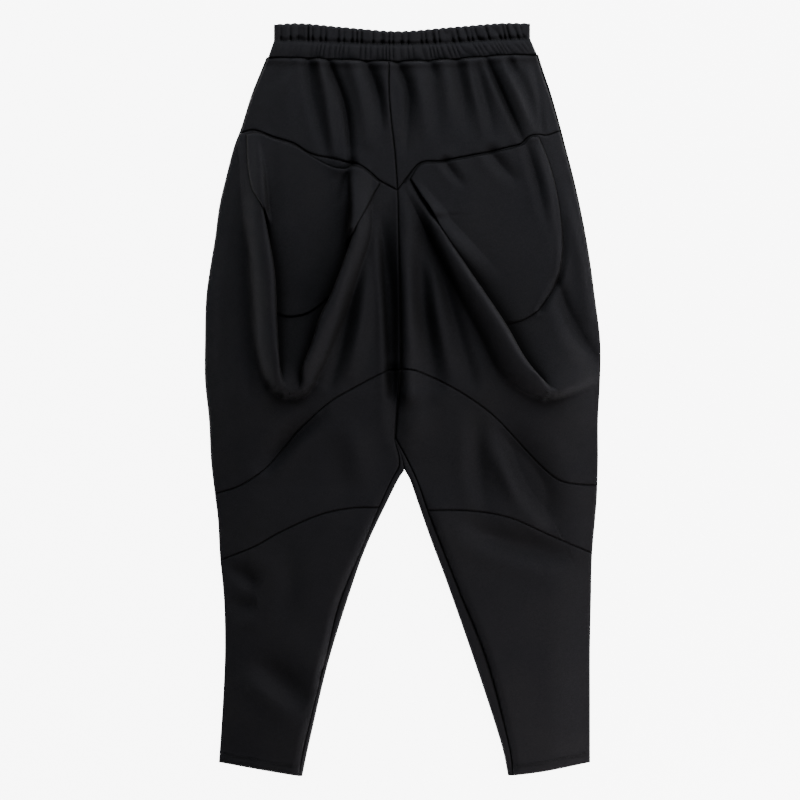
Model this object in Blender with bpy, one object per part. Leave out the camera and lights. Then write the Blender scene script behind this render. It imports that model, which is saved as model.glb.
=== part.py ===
# Drop-crotch trousers in black double knit, laid flat on their back.
# Every cut piece is one wall of cloth. X runs across the garment, +Y points to the waist and
# +Z up to the front. The origin is the middle of the garment's box on the surface it lies on.
# Left and right are as the front is seen. Sizes are millimetres until the meshes are made.
import bpy
import bmesh
import numpy as np

MM = 0.001
CLOTH = 1.5            # thickness of the knit
BAND = 2.2             # thickness of one side of the elastic waistband
SEAM = 0.3             # distance between pieces at a seam
LIFT = 0.8             # distance from a pocket to the panel under it
EDGE_Z = 3.5           # top of the front cloth at the side seams
INSEAM_Z = 5.8         # top of the cloth at the inner leg seams
LEAST_Z = 3.5          # the front cloth never sinks to the back
LEG_LEAN = 4.5         # how much higher a leg's cloth is beside its inner seam than beside its side
LEAN_START = 30.0      # where the lean starts, below the crotch
LEAN_RUN = 90.0        # and how far down it takes to grow
SIDE_ROUND = 34.0      # width over which the front rounds down to a side seam
INSEAM_ROUND = 20.0    # the same at an inner leg seam
TUCK = 10.0            # depth of cloth turned under a fold edge
FOOT = 1.25            # radius of the turn at the back of a fold
ROLL_WIDTH = 36.0      # width of the roll behind a fold edge
FLOOR_REACH = 92.0     # how far up a cowl its floor starts to rise
CROTCH = (-9.1, -50.1)
GAP_TIP = (3.2, -91.7)

# The sides of the garment at each height, waist to hem.
OUTLINE = [  # y, left, right
    (443.9, -174.2, 175.5), (415.4, -185.9, 184.6), (389.4, -196.3, 193.7), (349.0, -209.0, 205.4),
    (324.4, -218.4, 211.9), (285.4, -228.8, 222.3), (246.3, -237.9, 231.4), (207.3, -243.1, 239.2),
    (168.3, -249.6, 245.7), (129.3, -254.8, 250.9), (77.4, -256.1, 257.4), (25.4, -256.1, 257.4),
    (-26.7, -250.9, 254.8), (-78.7, -248.3, 254.8), (-124.2, -243.1, 253.5), (-156.7, -239.2, 250.9),
    (-203.5, -236.6, 247.0), (-260.7, -231.4, 245.7), (-325.7, -230.1, 244.4), (-390.7, -232.7, 244.4),
    (-471.2, -237.9, 244.4)]

# Height of the front cloth away from the seams.
CROWN = [  # y, height
    (490.0, 6.4), (440.0, 7.0), (340.0, 8.4), (100.0, 9.0), (-120.0, 8.6), (-300.0, 7.6), (-490.0, 5.9)]

# Seams, each as the few points of a smooth curve.
BAND_TOP = [(-166.4, 486.9), (-132.6, 488.2), (-74.1, 483.0), (-5.2, 478.0), (62.4, 483.0),
            (127.4, 488.2), (166.4, 488.2)]
BAND_MID = [(-166.4, 466.1), (-132.6, 466.1), (-74.1, 463.4), (-5.2, 461.5), (62.4, 463.4),
            (127.4, 467.4), (166.4, 468.7)]
BAND_FOOT = [(-172.6, 444.6), (-132.6, 443.3), (-74.1, 440.7), (-5.2, 438.8), (62.4, 441.4),
             (127.4, 446.6), (174.6, 448.2)]
CENTRE_YOKE = [(-16.9, 439.3), (-16.9, 398.4), (-13.7, 358.2), (-9.1, 317.9), (-5.9, 271.1)]
CENTRE_DRAPE = [(-5.9, 271.1), (-5.0, 240.0), (-2.6, 84.0), (-2.6, 38.4)]
CENTRE_THIGH = [(-2.6, 38.4), (-5.5, 0.0), CROTCH]
INSEAM_LEFT = [CROTCH, (-2.6, -82.5), (-11.7, -102.0), (-28.6, -138.5), (-46.8, -182.7),
               (-80.6, -263.2), (-99.0, -338.7), (-125.0, -442.7), (-133.8, -488.7)]
INSEAM_RIGHT = [CROTCH, (7.8, -81.2), (20.8, -109.9), (32.5, -143.7), (48.1, -184.0),
                (75.4, -252.9), (109.5, -338.7), (137.0, -442.7), (144.0, -487.9)]
LEG_LEFT = [GAP_TIP, (-5.2, -104.7), (-18.2, -130.7), (-42.9, -182.7), (-62.4, -234.7),
            (-94.9, -338.7), (-119.6, -442.7), (-129.5, -489.4)]
LEG_RIGHT = [GAP_TIP, (10.4, -104.7), (19.5, -130.7), (37.7, -182.7), (57.2, -234.7),
             (93.6, -338.7), (127.4, -442.7), (137.8, -489.0)]
GUSSET = [CROTCH, (-1.5, -70.0), GAP_TIP]
YOKE_SEAM_LEFT = [(-5.9, 271.1), (-29.2, 283.5), (-41.6, 294.8), (-55.4, 304.3), (-67.6, 307.1),
                  (-88.4, 312.3), (-118.3, 318.4), (-140.4, 332.2), (-165.1, 339.9), (-185.9, 348.3),
                  (-196.3, 349.7), (-209.0, 346.0)]
YOKE_SEAM_RIGHT = [(-5.9, 271.1), (8.7, 290.6), (24.4, 307.1), (50.7, 309.1), (81.9, 314.9),
                   (113.1, 321.0), (137.8, 326.9), (153.4, 330.9), (165.1, 341.2), (178.1, 343.9),
                   (187.2, 342.6), (205.4, 349.0)]
THIGH_SEAM_LEFT = [(-2.6, 38.4), (-22.1, 35.8), (-67.6, 12.3), (-97.5, -5.9), (-132.6, -38.4),
                   (-152.1, -61.8), (-178.1, -90.4), (-197.6, -104.7), (-217.1, -115.0), (-243.3, -122.9)]
THIGH_SEAM_RIGHT = [(-2.6, 38.4), (13.0, 39.0), (29.9, 33.1), (68.9, 13.7), (101.4, -7.2),
                    (127.4, -29.2), (166.4, -72.2), (185.9, -91.7), (202.8, -104.7), (224.9, -109.9),
                    (253.9, -111.8)]
KNEE_SEAM_LEFT = [(-29.1, -139.8), (-67.6, -141.1), (-109.2, -150.2), (-158.6, -172.2),
                  (-191.1, -190.5), (-236.2, -208.7)]
KNEE_SEAM_RIGHT = [(32.5, -143.7), (88.4, -144.3), (140.4, -153.4), (192.4, -176.2), (247.3, -199.6)]
HEM_LEFT = [(-133.8, -488.7), (-184.6, -480.4), (-237.9, -471.2)]
HEM_RIGHT = [(144.0, -487.9), (185.9, -482.5), (244.4, -471.2)]
BACK_SEAM = [(-4.0, 438.5), (3.2, -91.7)]

# Fold edges run from the yoke seam down over the cowl and on to the thigh seam. The three
# stretches of each guide take the same numbers of sections as the panel's other guides.
LIP_RIGHT = [[(9.1, 284.1), (22.0, 264.0), (36.0, 244.0)],
             [(36.0, 244.0), (61.1, 206.1), (92.3, 160.6), (133.9, 98.8), (159.9, 53.2), (188.0, 20.0),
              (200.0, 12.0)],
             [(200.0, 12.0), (213.0, -30.0), (219.0, -70.0), (222.0, -109.4)]]
LIP_INNER = [[(-64.0, 306.0), (-63.5, 270.0), (-64.5, 240.0)],
             [(-64.5, 240.0), (-77.5, 175.0), (-92.3, 136.0), (-106.6, 108.5), (-119.6, 70.0),
              (-126.8, 40.0), (-127.5, 14.0), (-136.0, 3.5)],
             [(-136.0, 3.5), (-135.0, -15.0), (-133.0, -38.0)]]
LIP_OUTER = [[(-193.0, 349.6), (-184.0, 300.0), (-179.0, 244.0)],
             [(-179.0, 244.0), (-170.5, 202.0), (-164.0, 160.0), (-161.0, 103.0), (-159.5, 58.0),
              (-155.5, 22.0), (-148.0, 3.5)],
             [(-148.0, 3.5), (-158.0, -25.0), (-174.0, -86.5)]]

# A cowl's rim: how far its cloth stands above the panel. The first two stretches of its lip
# lead to the soft bottom, whose own points follow.
RIM_LEFT = [  # x, y, height
    (-193.0, 349.0, 0), (-178.5, 241.0, 0), (-174.5, 222.0, 7), (-168.0, 190.0, 13), (-162.5, 130.0, 15),
    (-160.5, 80.0, 15), (-157.0, 30.0, 14), (-150.0, 6.0, 13), (-142.0, 1.5, 13), (-134.0, 6.0, 13),
    (-127.5, 20.0, 14), (-124.5, 50.0, 15), (-112.5, 90.0, 17), (-92.3, 136.0, 17), (-77.5, 175.0, 15),
    (-69.0, 213.0, 10), (-64.7, 238.0, 0), (-64.0, 306.0, 0)]
SOFT_LEFT = (7, 9)
RIM_RIGHT = [  # x, y, height
    (9.1, 284.1, 0), (36.0, 244.0, 3), (61.1, 206.1, 10), (92.3, 160.6, 16), (133.9, 98.8, 18),
    (159.9, 53.2, 16), (186.0, 21.0, 13), (198.0, 13.5, 12), (212.0, 18.0, 10), (230.0, 30.0, 7),
    (255.0, 47.0, 3)]
SOFT_RIGHT = (7, 10)

# Soft ridges and troughs of the front: three points of each, its half width, and its height
# at those points.
FOLDS = [  # x0, y0, xm, ym, x1, y1, width, start, middle, end
    (-143, 452, -152, 430, -179, 405, 7, -1.8, -1.4, 0),
    (-122, 443, -118, 400, -101, 327, 7, -2.6, -2.6, -0.8),
    (-95, 438, -74, 378, -66, 307, 5.5, -3.6, -4.6, -2.6),
    (-108, 440, -97, 390, -88, 320, 6, 1.4, 1.6, 0.8),
    (-64, 428, -53, 389, -46, 335, 9, 1.2, 1.8, 0.4),
    (-46, 437, -31, 395, -24, 345, 6.5, -3.4, -3.0, 0),
    (-6, 438, 8, 395, 5, 325, 6, -3.2, -3.0, -0.8),
    (17, 430, 26, 389, 30, 335, 9, 1.0, 1.6, 0.2),
    (35, 440, 40, 428, 45, 412, 5, -2.0, -1.2, 0),
    (70, 440, 78, 398, 84, 350, 7.5, -2.6, -2.4, -0.4),
    (98, 425, 110, 385, 119, 345, 7, -1.6, -2.2, -0.4),
    (112, 443, 136, 394, 160, 340, 6.5, -3.8, -4.4, -1.0),
    (128, 440, 156, 390, 168, 350, 6, 1.0, 2.4, 0.2),
    (153, 445, 176, 392, 185, 345, 7, 1.2, 1.2, 0.4),
    (139, 441, 143, 430, 149, 418, 4.5, -1.8, -1.2, 0),
    (158, 328, 173, 297, 184, 232, 8, -0.6, -1.4, -0.2),
    (114, 319, 130, 302, 154, 278, 8, -0.6, -0.9, 0),
    (-184, 340, -184, 300, -181, 250, 9, 0.6, 1.6, 0.8),
    (-204, 270, -205, 150, -198, 10, 9, -0.6, -2.0, -1.0),
    (-27, 238, -16, 130, -12, 24, 8.5, -0.5, -4.4, -4.8),
    (-12, 36, -10, 0, -8, -44, 8, -3.0, -2.6, -1.2),
    (-43, 190, -52, 105, -66, 35, 9, 0.6, 2.8, 1.0),
    (-60, 160, -76, 80, -92, 20, 8, -0.6, -3.0, -1.6),
    (3, 252, 8, 150, 12, 40, 6.5, 0.8, 3.6, 3.0),
    (22, 190, 25, 120, 31, 62, 8, -1.0, -2.8, -1.2),
    (16, 250, 58, 140, 92, 14, 9, -0.8, -4.6, -1.8),
    (34, 150, 50, 90, 64, 22, 8, 0, 1.8, 0.6),
    (214, 170, 212, 118, 252, 60, 10, -0.4, -4.6, -2.4),
    (212, 270, 236, 190, 247, 118, 9, 1.0, 3.2, 2.0),
    (-232, 255, -238, 150, -238, 40, 10, 0.4, 2.0, 0.4),
    (127, -40, 152, -72, 194, -158, 11, -2.4, -4.6, -1.4),
    (98, -20, 99, -94, 110, -142, 11, -0.6, -2.2, -0.6),
    (15, 20, 18, -20, 14, -60, 14, 0.6, 2.2, 0.6),
    (-107, -22, -142, -50, -176, -86, 10, -1.2, -3.4, -1.4),
    (-80, -30, -60, -62, -52, -118, 16, 0.2, 2.0, 0.4),
    (78, -152, 118, -182, 222, -204, 13, -0.6, -3.4, -1.2),
    (-226, -218, -212, -226, -190, -238, 9, -1.0, -2.6, 0),
    (-228, -262, -212, -262, -200, -254, 9, -1.0, -2.2, 0),
    (-233, -190, -222, -206, -205, -218, 7, 0.8, 1.4, 0),
    (-150, -175, -146, -230, -150, -300, 14, 0, -1.0, 0),
    (-222, -359, -175, -380, -130, -415, 13, 0, 2.0, 0)]

# A pocket's four edges: mouth, side, foot and the edge under the fold.
POCKET_RIGHT = [
    [(15.0, 288.0), (25.5, 304.5), (50.7, 307.4), (113.1, 319.2), (153.4, 329.2), (165.1, 339.0),
     (177.0, 341.9)],
    [(177.0, 341.9), (189.8, 304.9), (197.6, 265.9), (201.5, 226.8), (200.2, 187.8), (194.0, 155.0),
     (175.0, 119.0)],
    [(124.0, 101.0), (133.9, 98.8), (156.0, 106.0), (175.0, 119.0)],
    [(15.0, 288.0), (41.0, 248.0), (54.0, 226.0), (65.0, 203.0), (84.0, 165.0), (124.0, 101.0)]]
POCKET_LEFT = [
    [(-201.8, 344.5), (-185.9, 346.0), (-165.1, 338.0), (-140.4, 330.2), (-118.3, 316.4), (-88.4, 305.5),
     (-70.0, 303.5), (-48.0, 297.5), (-30.0, 281.0)],
    [(-201.8, 344.5), (-200.2, 306.2), (-195.0, 276.3), (-187.0, 256.0), (-174.0, 238.0), (-169.0, 222.0),
     (-172.5, 200.0), (-169.0, 155.0), (-165.0, 112.0)],
    [(-165.0, 112.0), (-145.6, 106.8), (-118.0, 113.6), (-86.5, 140.0)],
    [(-30.0, 281.0), (-45.0, 262.0), (-61.0, 248.0), (-71.0, 236.0), (-74.0, 224.0), (-68.0, 205.0),
     (-73.0, 175.0), (-86.5, 140.0)]]

DRAPE_ROWS = (3, 12, 4)
YOKE_ROWS = 6
THIGH_ROWS = (2, 2, 1, 3)
SHIN_ROWS = 9
YOKE_STEP = (4.8, 7.5)   # least and most distance between sections
THIGH_STEP = (9.0, 17.0)
SHIN_STEP = (11.0, 24.0)
HIP_ROWS = 7
POCKET_GRID = (10, 15)
RIBS = 34
RIB_HEIGHT = 1.1
BAND_Z = 6.2           # height of the waistband
BAND_TAPER = 1 - BAND_Z / 2 / BAND_FOOT[-1][0]   # leaves room for its round side edges
CENTRING = (-0.75, 0.06)   # from the drawing's centre line to the middle of the box


def curve(points, count):
    """Evenly spaced points, count stretches in all, on a smooth curve through the given ones."""
    control = np.array(points, float)
    ends = np.vstack([2 * control[0] - control[1], control, 2 * control[-1] - control[-2]])
    fine = [control[0]]
    for a, b, c, d in zip(ends, ends[1:], ends[2:], ends[3:]):
        for t in np.linspace(0.05, 1, 20):
            fine.append(0.5 * (2 * b + (c - a) * t + (2 * a - 5 * b + 4 * c - d) * t ** 2
                               + (3 * b - a - 3 * c + d) * t ** 3))
    fine = np.array(fine)
    length = np.append(0, np.cumsum(np.linalg.norm(np.diff(fine[:, :2], axis=0), axis=1)))
    places = np.linspace(0, length[-1], count + 1)
    return np.stack([np.interp(places, length, fine[:, i]) for i in range(fine.shape[1])], axis=1)


def joined(pieces, counts):
    """One guide made of several stretches, each with its own number of sections."""
    parts = [curve(p, n) for p, n in zip(pieces, counts)]
    return np.vstack([parts[0]] + [p[1:] for p in parts[1:]])


def step(t):
    t = np.clip(t, 0, 1)
    return t * t * (3 - 2 * t)


def nearest(x, y, line):
    """Distance from each point to a line and the place on it, in points of the line."""
    best = np.full(np.shape(x), 1e9)
    place = np.zeros(np.shape(x))
    for i, (a, b) in enumerate(zip(line, line[1:])):
        run = b[:2] - a[:2]
        t = np.clip(((x - a[0]) * run[0] + (y - a[1]) * run[1]) / (run @ run), 0, 1)
        gap = np.hypot(x - a[0] - t * run[0], y - a[1] - t * run[1])
        closer = gap < best
        best = np.where(closer, gap, best)
        place = np.where(closer, i + t, place)
    return best, place


OUTLINE_ROWS = np.array(OUTLINE)
SIDE_LEFT = curve(OUTLINE_ROWS[:, [1, 0]], 240)
SIDE_RIGHT = curve(OUTLINE_ROWS[:, [2, 0]], 240)
INSEAMS = [curve(INSEAM_LEFT, 60), curve(INSEAM_RIGHT, 60)]


def side(y, line):
    return np.interp(-np.asarray(y, float), -line[:, 1], line[:, 0])


def panel_height(x, y):
    """Top of the front cloth without its cowls."""
    crown_rows = np.array(CROWN)[::-1]
    crown = np.interp(y, crown_rows[:, 0], crown_rows[:, 1])
    to_side = np.minimum(x - side(y, SIDE_LEFT), side(y, SIDE_RIGHT) - x)
    to_seam = np.minimum(nearest(x, y, INSEAMS[0])[0], nearest(x, y, INSEAMS[1])[0])
    near_side = 1 - np.sin(np.pi / 2 * np.clip(to_side / SIDE_ROUND, 0, 1))
    near_seam = 1 - np.sin(np.pi / 2 * np.clip(to_seam / INSEAM_ROUND, 0, 1))
    inner = to_side / (to_side + to_seam)
    crown = crown + LEG_LEAN * inner * step((CROTCH[1] - LEAN_START - y) / LEAN_RUN)
    height = crown - (crown - EDGE_Z) * near_side - (crown - INSEAM_Z) * near_seam
    relief = np.zeros(np.shape(x))
    for x0, y0, xm, ym, x1, y1, width, start, middle, end in FOLDS:
        gap, place = nearest(x, y, curve([(x0, y0), (xm, ym), (x1, y1)], 8))
        t = place / 8
        size = start * (1 - t) * (1 - 2 * t) + middle * 4 * t * (1 - t) + end * t * (2 * t - 1)
        relief = relief + size * np.exp(-(gap / width) ** 2)
    height = height + relief * (1 - near_side) * (1 - near_seam)
    return np.maximum(height, LEAST_Z)


class Cowl:
    """The raised rim of a draped fold and the floor inside it."""

    def __init__(self, rim, soft):
        self.rim = np.array(rim, float)
        self.soft = self.rim[soft[0]:soft[1] + 1]

    def top(self, x, y):
        gap, place = nearest(x, y, self.rim)
        height = np.interp(place, np.arange(len(self.rim)), self.rim[:, 2])
        return height * (0.8 * (1 - step(gap / ROLL_WIDTH)) + 0.2 * (1 - step(gap / (3 * ROLL_WIDTH))))

    def floor(self, x, y):
        gap, place = nearest(x, y, self.soft)
        height = np.interp(place, np.arange(len(self.soft)), self.soft[:, 2])
        return height * np.clip(1 - gap / FLOOR_REACH, 0, 1) ** 2


COWL_LEFT = Cowl(RIM_LEFT, SOFT_LEFT)
COWL_RIGHT = Cowl(RIM_RIGHT, SOFT_RIGHT)


def fill(first, last, start, end):
    """A grid between four edges: first and last rows, start and end columns."""
    rows, columns = len(start), len(first)
    start, end = start.copy(), end.copy()
    start[0], start[-1], end[0], end[-1] = first[0], last[0], first[-1], last[-1]
    v = np.linspace(0, 1, rows)[:, None, None]
    u = np.linspace(0, 1, columns)[None, :, None]
    across = (1 - v) * first[None] + v * last[None]
    down = (1 - u) * start[:, None] + u * end[:, None]
    corners = ((1 - v) * ((1 - u) * first[0] + u * first[-1]) + v * ((1 - u) * last[0] + u * last[-1]))
    return across + down - corners


def fold_section(drop):
    """A fold edge's section from its top to the floor: (out past the edge, up from the floor)."""
    turn = np.radians(max(8.0, np.interp(drop, [0, 2.5, 6, 8.5, 11], [0, 45, 90, 135, 180])))
    under = TUCK * np.clip((np.degrees(turn) - 120) / 60, 0, 1)
    fall = 1 - np.cos(turn)
    radius = max((drop - under * np.sin(turn) - FOOT * fall) / fall, 4.0 / turn, 2.6)
    points = [(0.0, 0.0)]
    headings = [turn * share for share in (0.1, 0.3, 0.5, 0.7, 0.9, 1, 5 / 6, 1 / 2, 1 / 6)]
    lengths = [radius * turn / 5] * 5 + [under + 0.6] + [max(FOOT * turn / 3, 0.5)] * 3
    for heading, length in zip(headings, lengths):
        out, up = points[-1]
        points.append((out + length * np.cos(heading), up - length * np.sin(heading)))
    points = np.array(points)
    edge = radius * np.sin(min(turn, np.pi / 2))
    points[:, 0] -= edge
    points[:, 1] = drop * (1 - points[:, 1] / points[-1, 1]) if abs(points[-1, 1]) > 1e-6 else 0
    return points


def fold_strip(lip, toward, cowl):
    """The columns of a fold edge on every row, and their heights above the panel."""
    run = np.gradient(lip, axis=0)
    normal = np.stack([run[:, 1], -run[:, 0]], axis=1)
    normal /= np.linalg.norm(normal, axis=1)[:, None]
    normal *= np.where((normal @ np.array(toward)) < 0, -1, 1)[:, None]
    places, heights = [], []
    for point, out in zip(lip, normal):
        top = cowl.top(*point)
        floor = min(cowl.floor(*point), top)
        section = fold_section(top - floor)
        places.append(point + section[:, :1] * out)
        heights.append(floor + section[:, 1])
    return np.array(places), np.array(heights)


def trimmed(grid, first=True, last=True, start=True, end=True):
    """The grid with half a seam's gap taken off the edges that meet other pieces."""
    grid = grid.copy()
    for on, edge, inner in ((first, np.s_[0], np.s_[1]), (last, np.s_[-1], np.s_[-2]),
                            (start, np.s_[:, 0], np.s_[:, 1]), (end, np.s_[:, -1], np.s_[:, -2])):
        if on:
            run = grid[inner] - grid[edge]
            length = np.maximum(np.linalg.norm(run[..., :2], axis=-1, keepdims=True), 1e-6)
            grid[edge] = grid[edge] + run / length * SEAM * 0.55
    return grid


def inward(outer, thickness):
    """The inner side of a wall whose outer points form a grid."""
    across = np.gradient(outer, axis=1)
    down = np.gradient(outer, axis=0)
    normal = np.cross(across, down)
    normal /= np.linalg.norm(normal, axis=-1, keepdims=True)
    if normal[0, 0, 2] < 0:
        normal = -normal
    return outer - normal * thickness


def material(name, color, roughness):
    made = bpy.data.materials.new(name)
    made.use_nodes = True
    shader = made.node_tree.nodes["Principled BSDF"]
    shader.inputs["Base Color"].default_value = (*color, 1)
    shader.inputs["Roughness"].default_value = roughness
    shader.inputs["Metallic"].default_value = 0.0
    return made


def diagonal(points, loop, columns):
    """The two triangles of a four-sided face, cut along its shorter diagonal."""
    a, b, c, d = (points[r, column % columns] for r, column in loop)
    if np.linalg.norm(a - c) <= np.linalg.norm(b - d):
        return (loop[:3], [loop[0], loop[2], loop[3]])
    return ([loop[0], loop[1], loop[3]], loop[1:])


def wall(name, outer, inner, skip=None, ring=False):
    """A closed body from two matching grids of points, without the faces that skip leaves out."""
    rows, columns = outer.shape[:2]
    across = columns if ring else columns - 1
    bm = bmesh.new()
    quads = [(r, c) for r in range(rows - 1) for c in range(across) if not (skip and skip(r, c))]
    corners = {}

    def corner(layer, r, c):
        key = (layer, r, c % columns)
        if key not in corners:
            x, y, z = (outer, inner)[layer][key[1], key[2]]
            corners[key] = bm.verts.new(((x + CENTRING[0]) * MM, (y + CENTRING[1]) * MM, z * MM))
        return corners[key]

    edges = {}
    for r, c in quads:
        loop = [(r, c), (r, c + 1), (r + 1, c + 1), (r + 1, c)]
        halves = diagonal(outer, loop, columns)
        for half in halves:
            bm.faces.new([corner(0, *p) for p in half])
            bm.faces.new([corner(1, *p) for p in reversed(half)])
        for a, b in zip(loop, loop[1:] + loop[:1]):
            a, b = (a[0], a[1] % columns), (b[0], b[1] % columns)
            edges[(a, b)] = edges.get((a, b), 0) + 1
    for a, b in edges:
        if (b, a) not in edges:
            bm.faces.new([corner(0, *b), corner(0, *a), corner(1, *a), corner(1, *b)])
    bmesh.ops.recalc_face_normals(bm, faces=bm.faces)
    bmesh.ops.triangulate(bm, faces=bm.faces)
    mesh = bpy.data.meshes.new(name)
    bm.to_mesh(mesh)
    bm.free()
    mesh.materials.append(material(name.replace("_", " ") + " knit", (0.012, 0.012, 0.013), 0.85))
    mesh.shade_smooth()
    bpy.context.collection.objects.link(bpy.data.objects.new(name, mesh))


def seam_stretch(seam, start, end, count):
    """The part of a seam between two of its points, in count steps."""
    line = curve(seam, 200)
    at = [float(nearest(p[0], p[1], line)[1]) for p in (start, end)]
    places = np.linspace(at[0], at[1], count + 1)
    index = np.arange(len(line))
    return np.stack([np.interp(places, index, line[:, i]) for i in range(2)], axis=1)


def on_seam(points, seam):
    """The points moved to the nearest places of a seam."""
    line = curve(seam, 200)
    places = nearest(points[:, 0], points[:, 1], line)[1]
    index = np.arange(len(line))
    return np.stack([np.interp(places, index, line[:, i]) for i in range(2)], axis=1)


def thinned(row, least, most):
    """A row of points with the crowded ones left out and the long steps divided."""
    kept = [row[0]]
    for point in row[1:-1]:
        if np.linalg.norm(point - kept[-1]) >= least and np.linalg.norm(point - row[-1]) >= least:
            kept.append(point)
    kept.append(row[-1])
    points = [kept[0]]
    for a, b in zip(kept, kept[1:]):
        steps = int(np.ceil(np.linalg.norm(b - a) / most))
        points += [a + (b - a) * i / steps for i in range(1, steps + 1)]
    return np.array(points)


def matched(points, row):
    """Points on a curve at the same shares of its length as a row's points."""
    line = curve(points, 200)
    shares = np.append(0, np.cumsum(np.linalg.norm(np.diff(row, axis=0), axis=1)))
    places = shares / shares[-1] * 200
    return np.stack([np.interp(places, np.arange(201), line[:, i]) for i in range(2)], axis=1)


def part_of(line, y_from, y_to, count):
    """The stretch of a line between two heights, in count steps."""
    fine = curve(line, 300)
    inside = fine[(fine[:, 1] < y_from - 0.01) & (fine[:, 1] > y_to + 0.01)]
    ends = [[np.interp(-y, -fine[:, 1], fine[:, 0]), y] for y in (y_from, y_to)]
    return curve(np.vstack([ends[0], inside[::12], ends[1]]), count)


def hollow_height(x, y, cowl):
    """Height of a cowl's floor above the panel, running out over its soft bottom."""
    return np.minimum(cowl.floor(x, y), cowl.top(x, y))


def roll_height(x, y):
    """What the two cowls' rolls add to the cloth outside their fold edges."""
    return np.where(x < CENTRE_DRAPE[0][0], COWL_LEFT.top(x, y), COWL_RIGHT.top(x, y))


def drape_panel(name, seam_top, seam_foot, centre, edge, cowl, lips, counts):
    """A draped panel: plain cloth and fold edges in turn, from the centre seam to the side seam.
    Returns the points of its first and last rows that its neighbours share."""
    guides = [(centre[:, None], None)]
    for lip, toward, to_floor in lips:
        strip, heights = fold_strip(lip, toward, cowl)
        if not to_floor:
            strip, heights = strip[:, ::-1], heights[:, ::-1]
        strip = strip.copy()
        strip[0], strip[-1] = on_seam(strip[0], seam_top), on_seam(strip[-1], seam_foot)
        guides.append((strip, heights))
    guides.append((edge[:, None], None))
    plan, raised, shared = [guides[0][0]], [False], [0]
    column, inside = 0, False
    for (a, _), (b, heights), count in zip(guides, guides[1:], counts):
        start, end = a[:, -1], b[:, 0]
        grid = fill(seam_stretch(seam_top, start[0], end[0], count),
                    seam_stretch(seam_foot, start[-1], end[-1], count), start, end)[:, 1:-1]
        plan += [grid, b]
        raised += [inside, inside if heights is None else heights]
        shared += range(column + 1, column + count + 1)
        column += count + b.shape[1] - 1
        if heights is not None:
            shared.append(column)
            inside = not inside
    plan_grid = trimmed(np.concatenate(plan, axis=1))
    plan_grid[:, -1] = np.concatenate(plan, axis=1)[:, -1]
    column, levels = 0, []
    for part, level in zip(plan, raised):
        piece = plan_grid[:, column:column + part.shape[1]]
        x, y = piece[..., 0], piece[..., 1]
        if isinstance(level, bool):
            level = hollow_height(x, y, cowl) if level else cowl.top(x, y)
        levels.append(level)
        column += part.shape[1]
    height = np.concatenate(levels, axis=1) + panel_height(plan_grid[..., 0], plan_grid[..., 1])
    outer = np.dstack([plan_grid, height])
    wall(name, outer, inward(outer, CLOTH))
    whole = np.concatenate(plan, axis=1)
    return whole[0][shared], whole[-1][shared]


def plain_panel(name, plan, end_seam=False, last_seam=True):
    """A front panel without a fold edge."""
    grid = trimmed(plan, last=last_seam, end=end_seam)
    x, y = grid[..., 0], grid[..., 1]
    outer = np.dstack([grid, panel_height(x, y) + roll_height(x, y)])
    wall(name, outer, inward(outer, CLOTH))


def pocket(name, edges, cowl):
    """A patch pocket: the panel's own surface, moved out."""
    across, down = POCKET_GRID
    mouth, side_edge, foot, under = edges
    left_first = mouth[0] == side_edge[0]
    start, end = (side_edge, under) if left_first else (under, side_edge)
    grid = fill(curve(mouth, across), curve(foot, across), curve(start, down), curve(end, down))
    x, y = grid[..., 0], grid[..., 1]
    base = np.dstack([grid, panel_height(x, y) + hollow_height(x, y, cowl)])
    wall(name, inward(base, -LIFT - CLOTH), inward(base, -LIFT))


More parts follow.
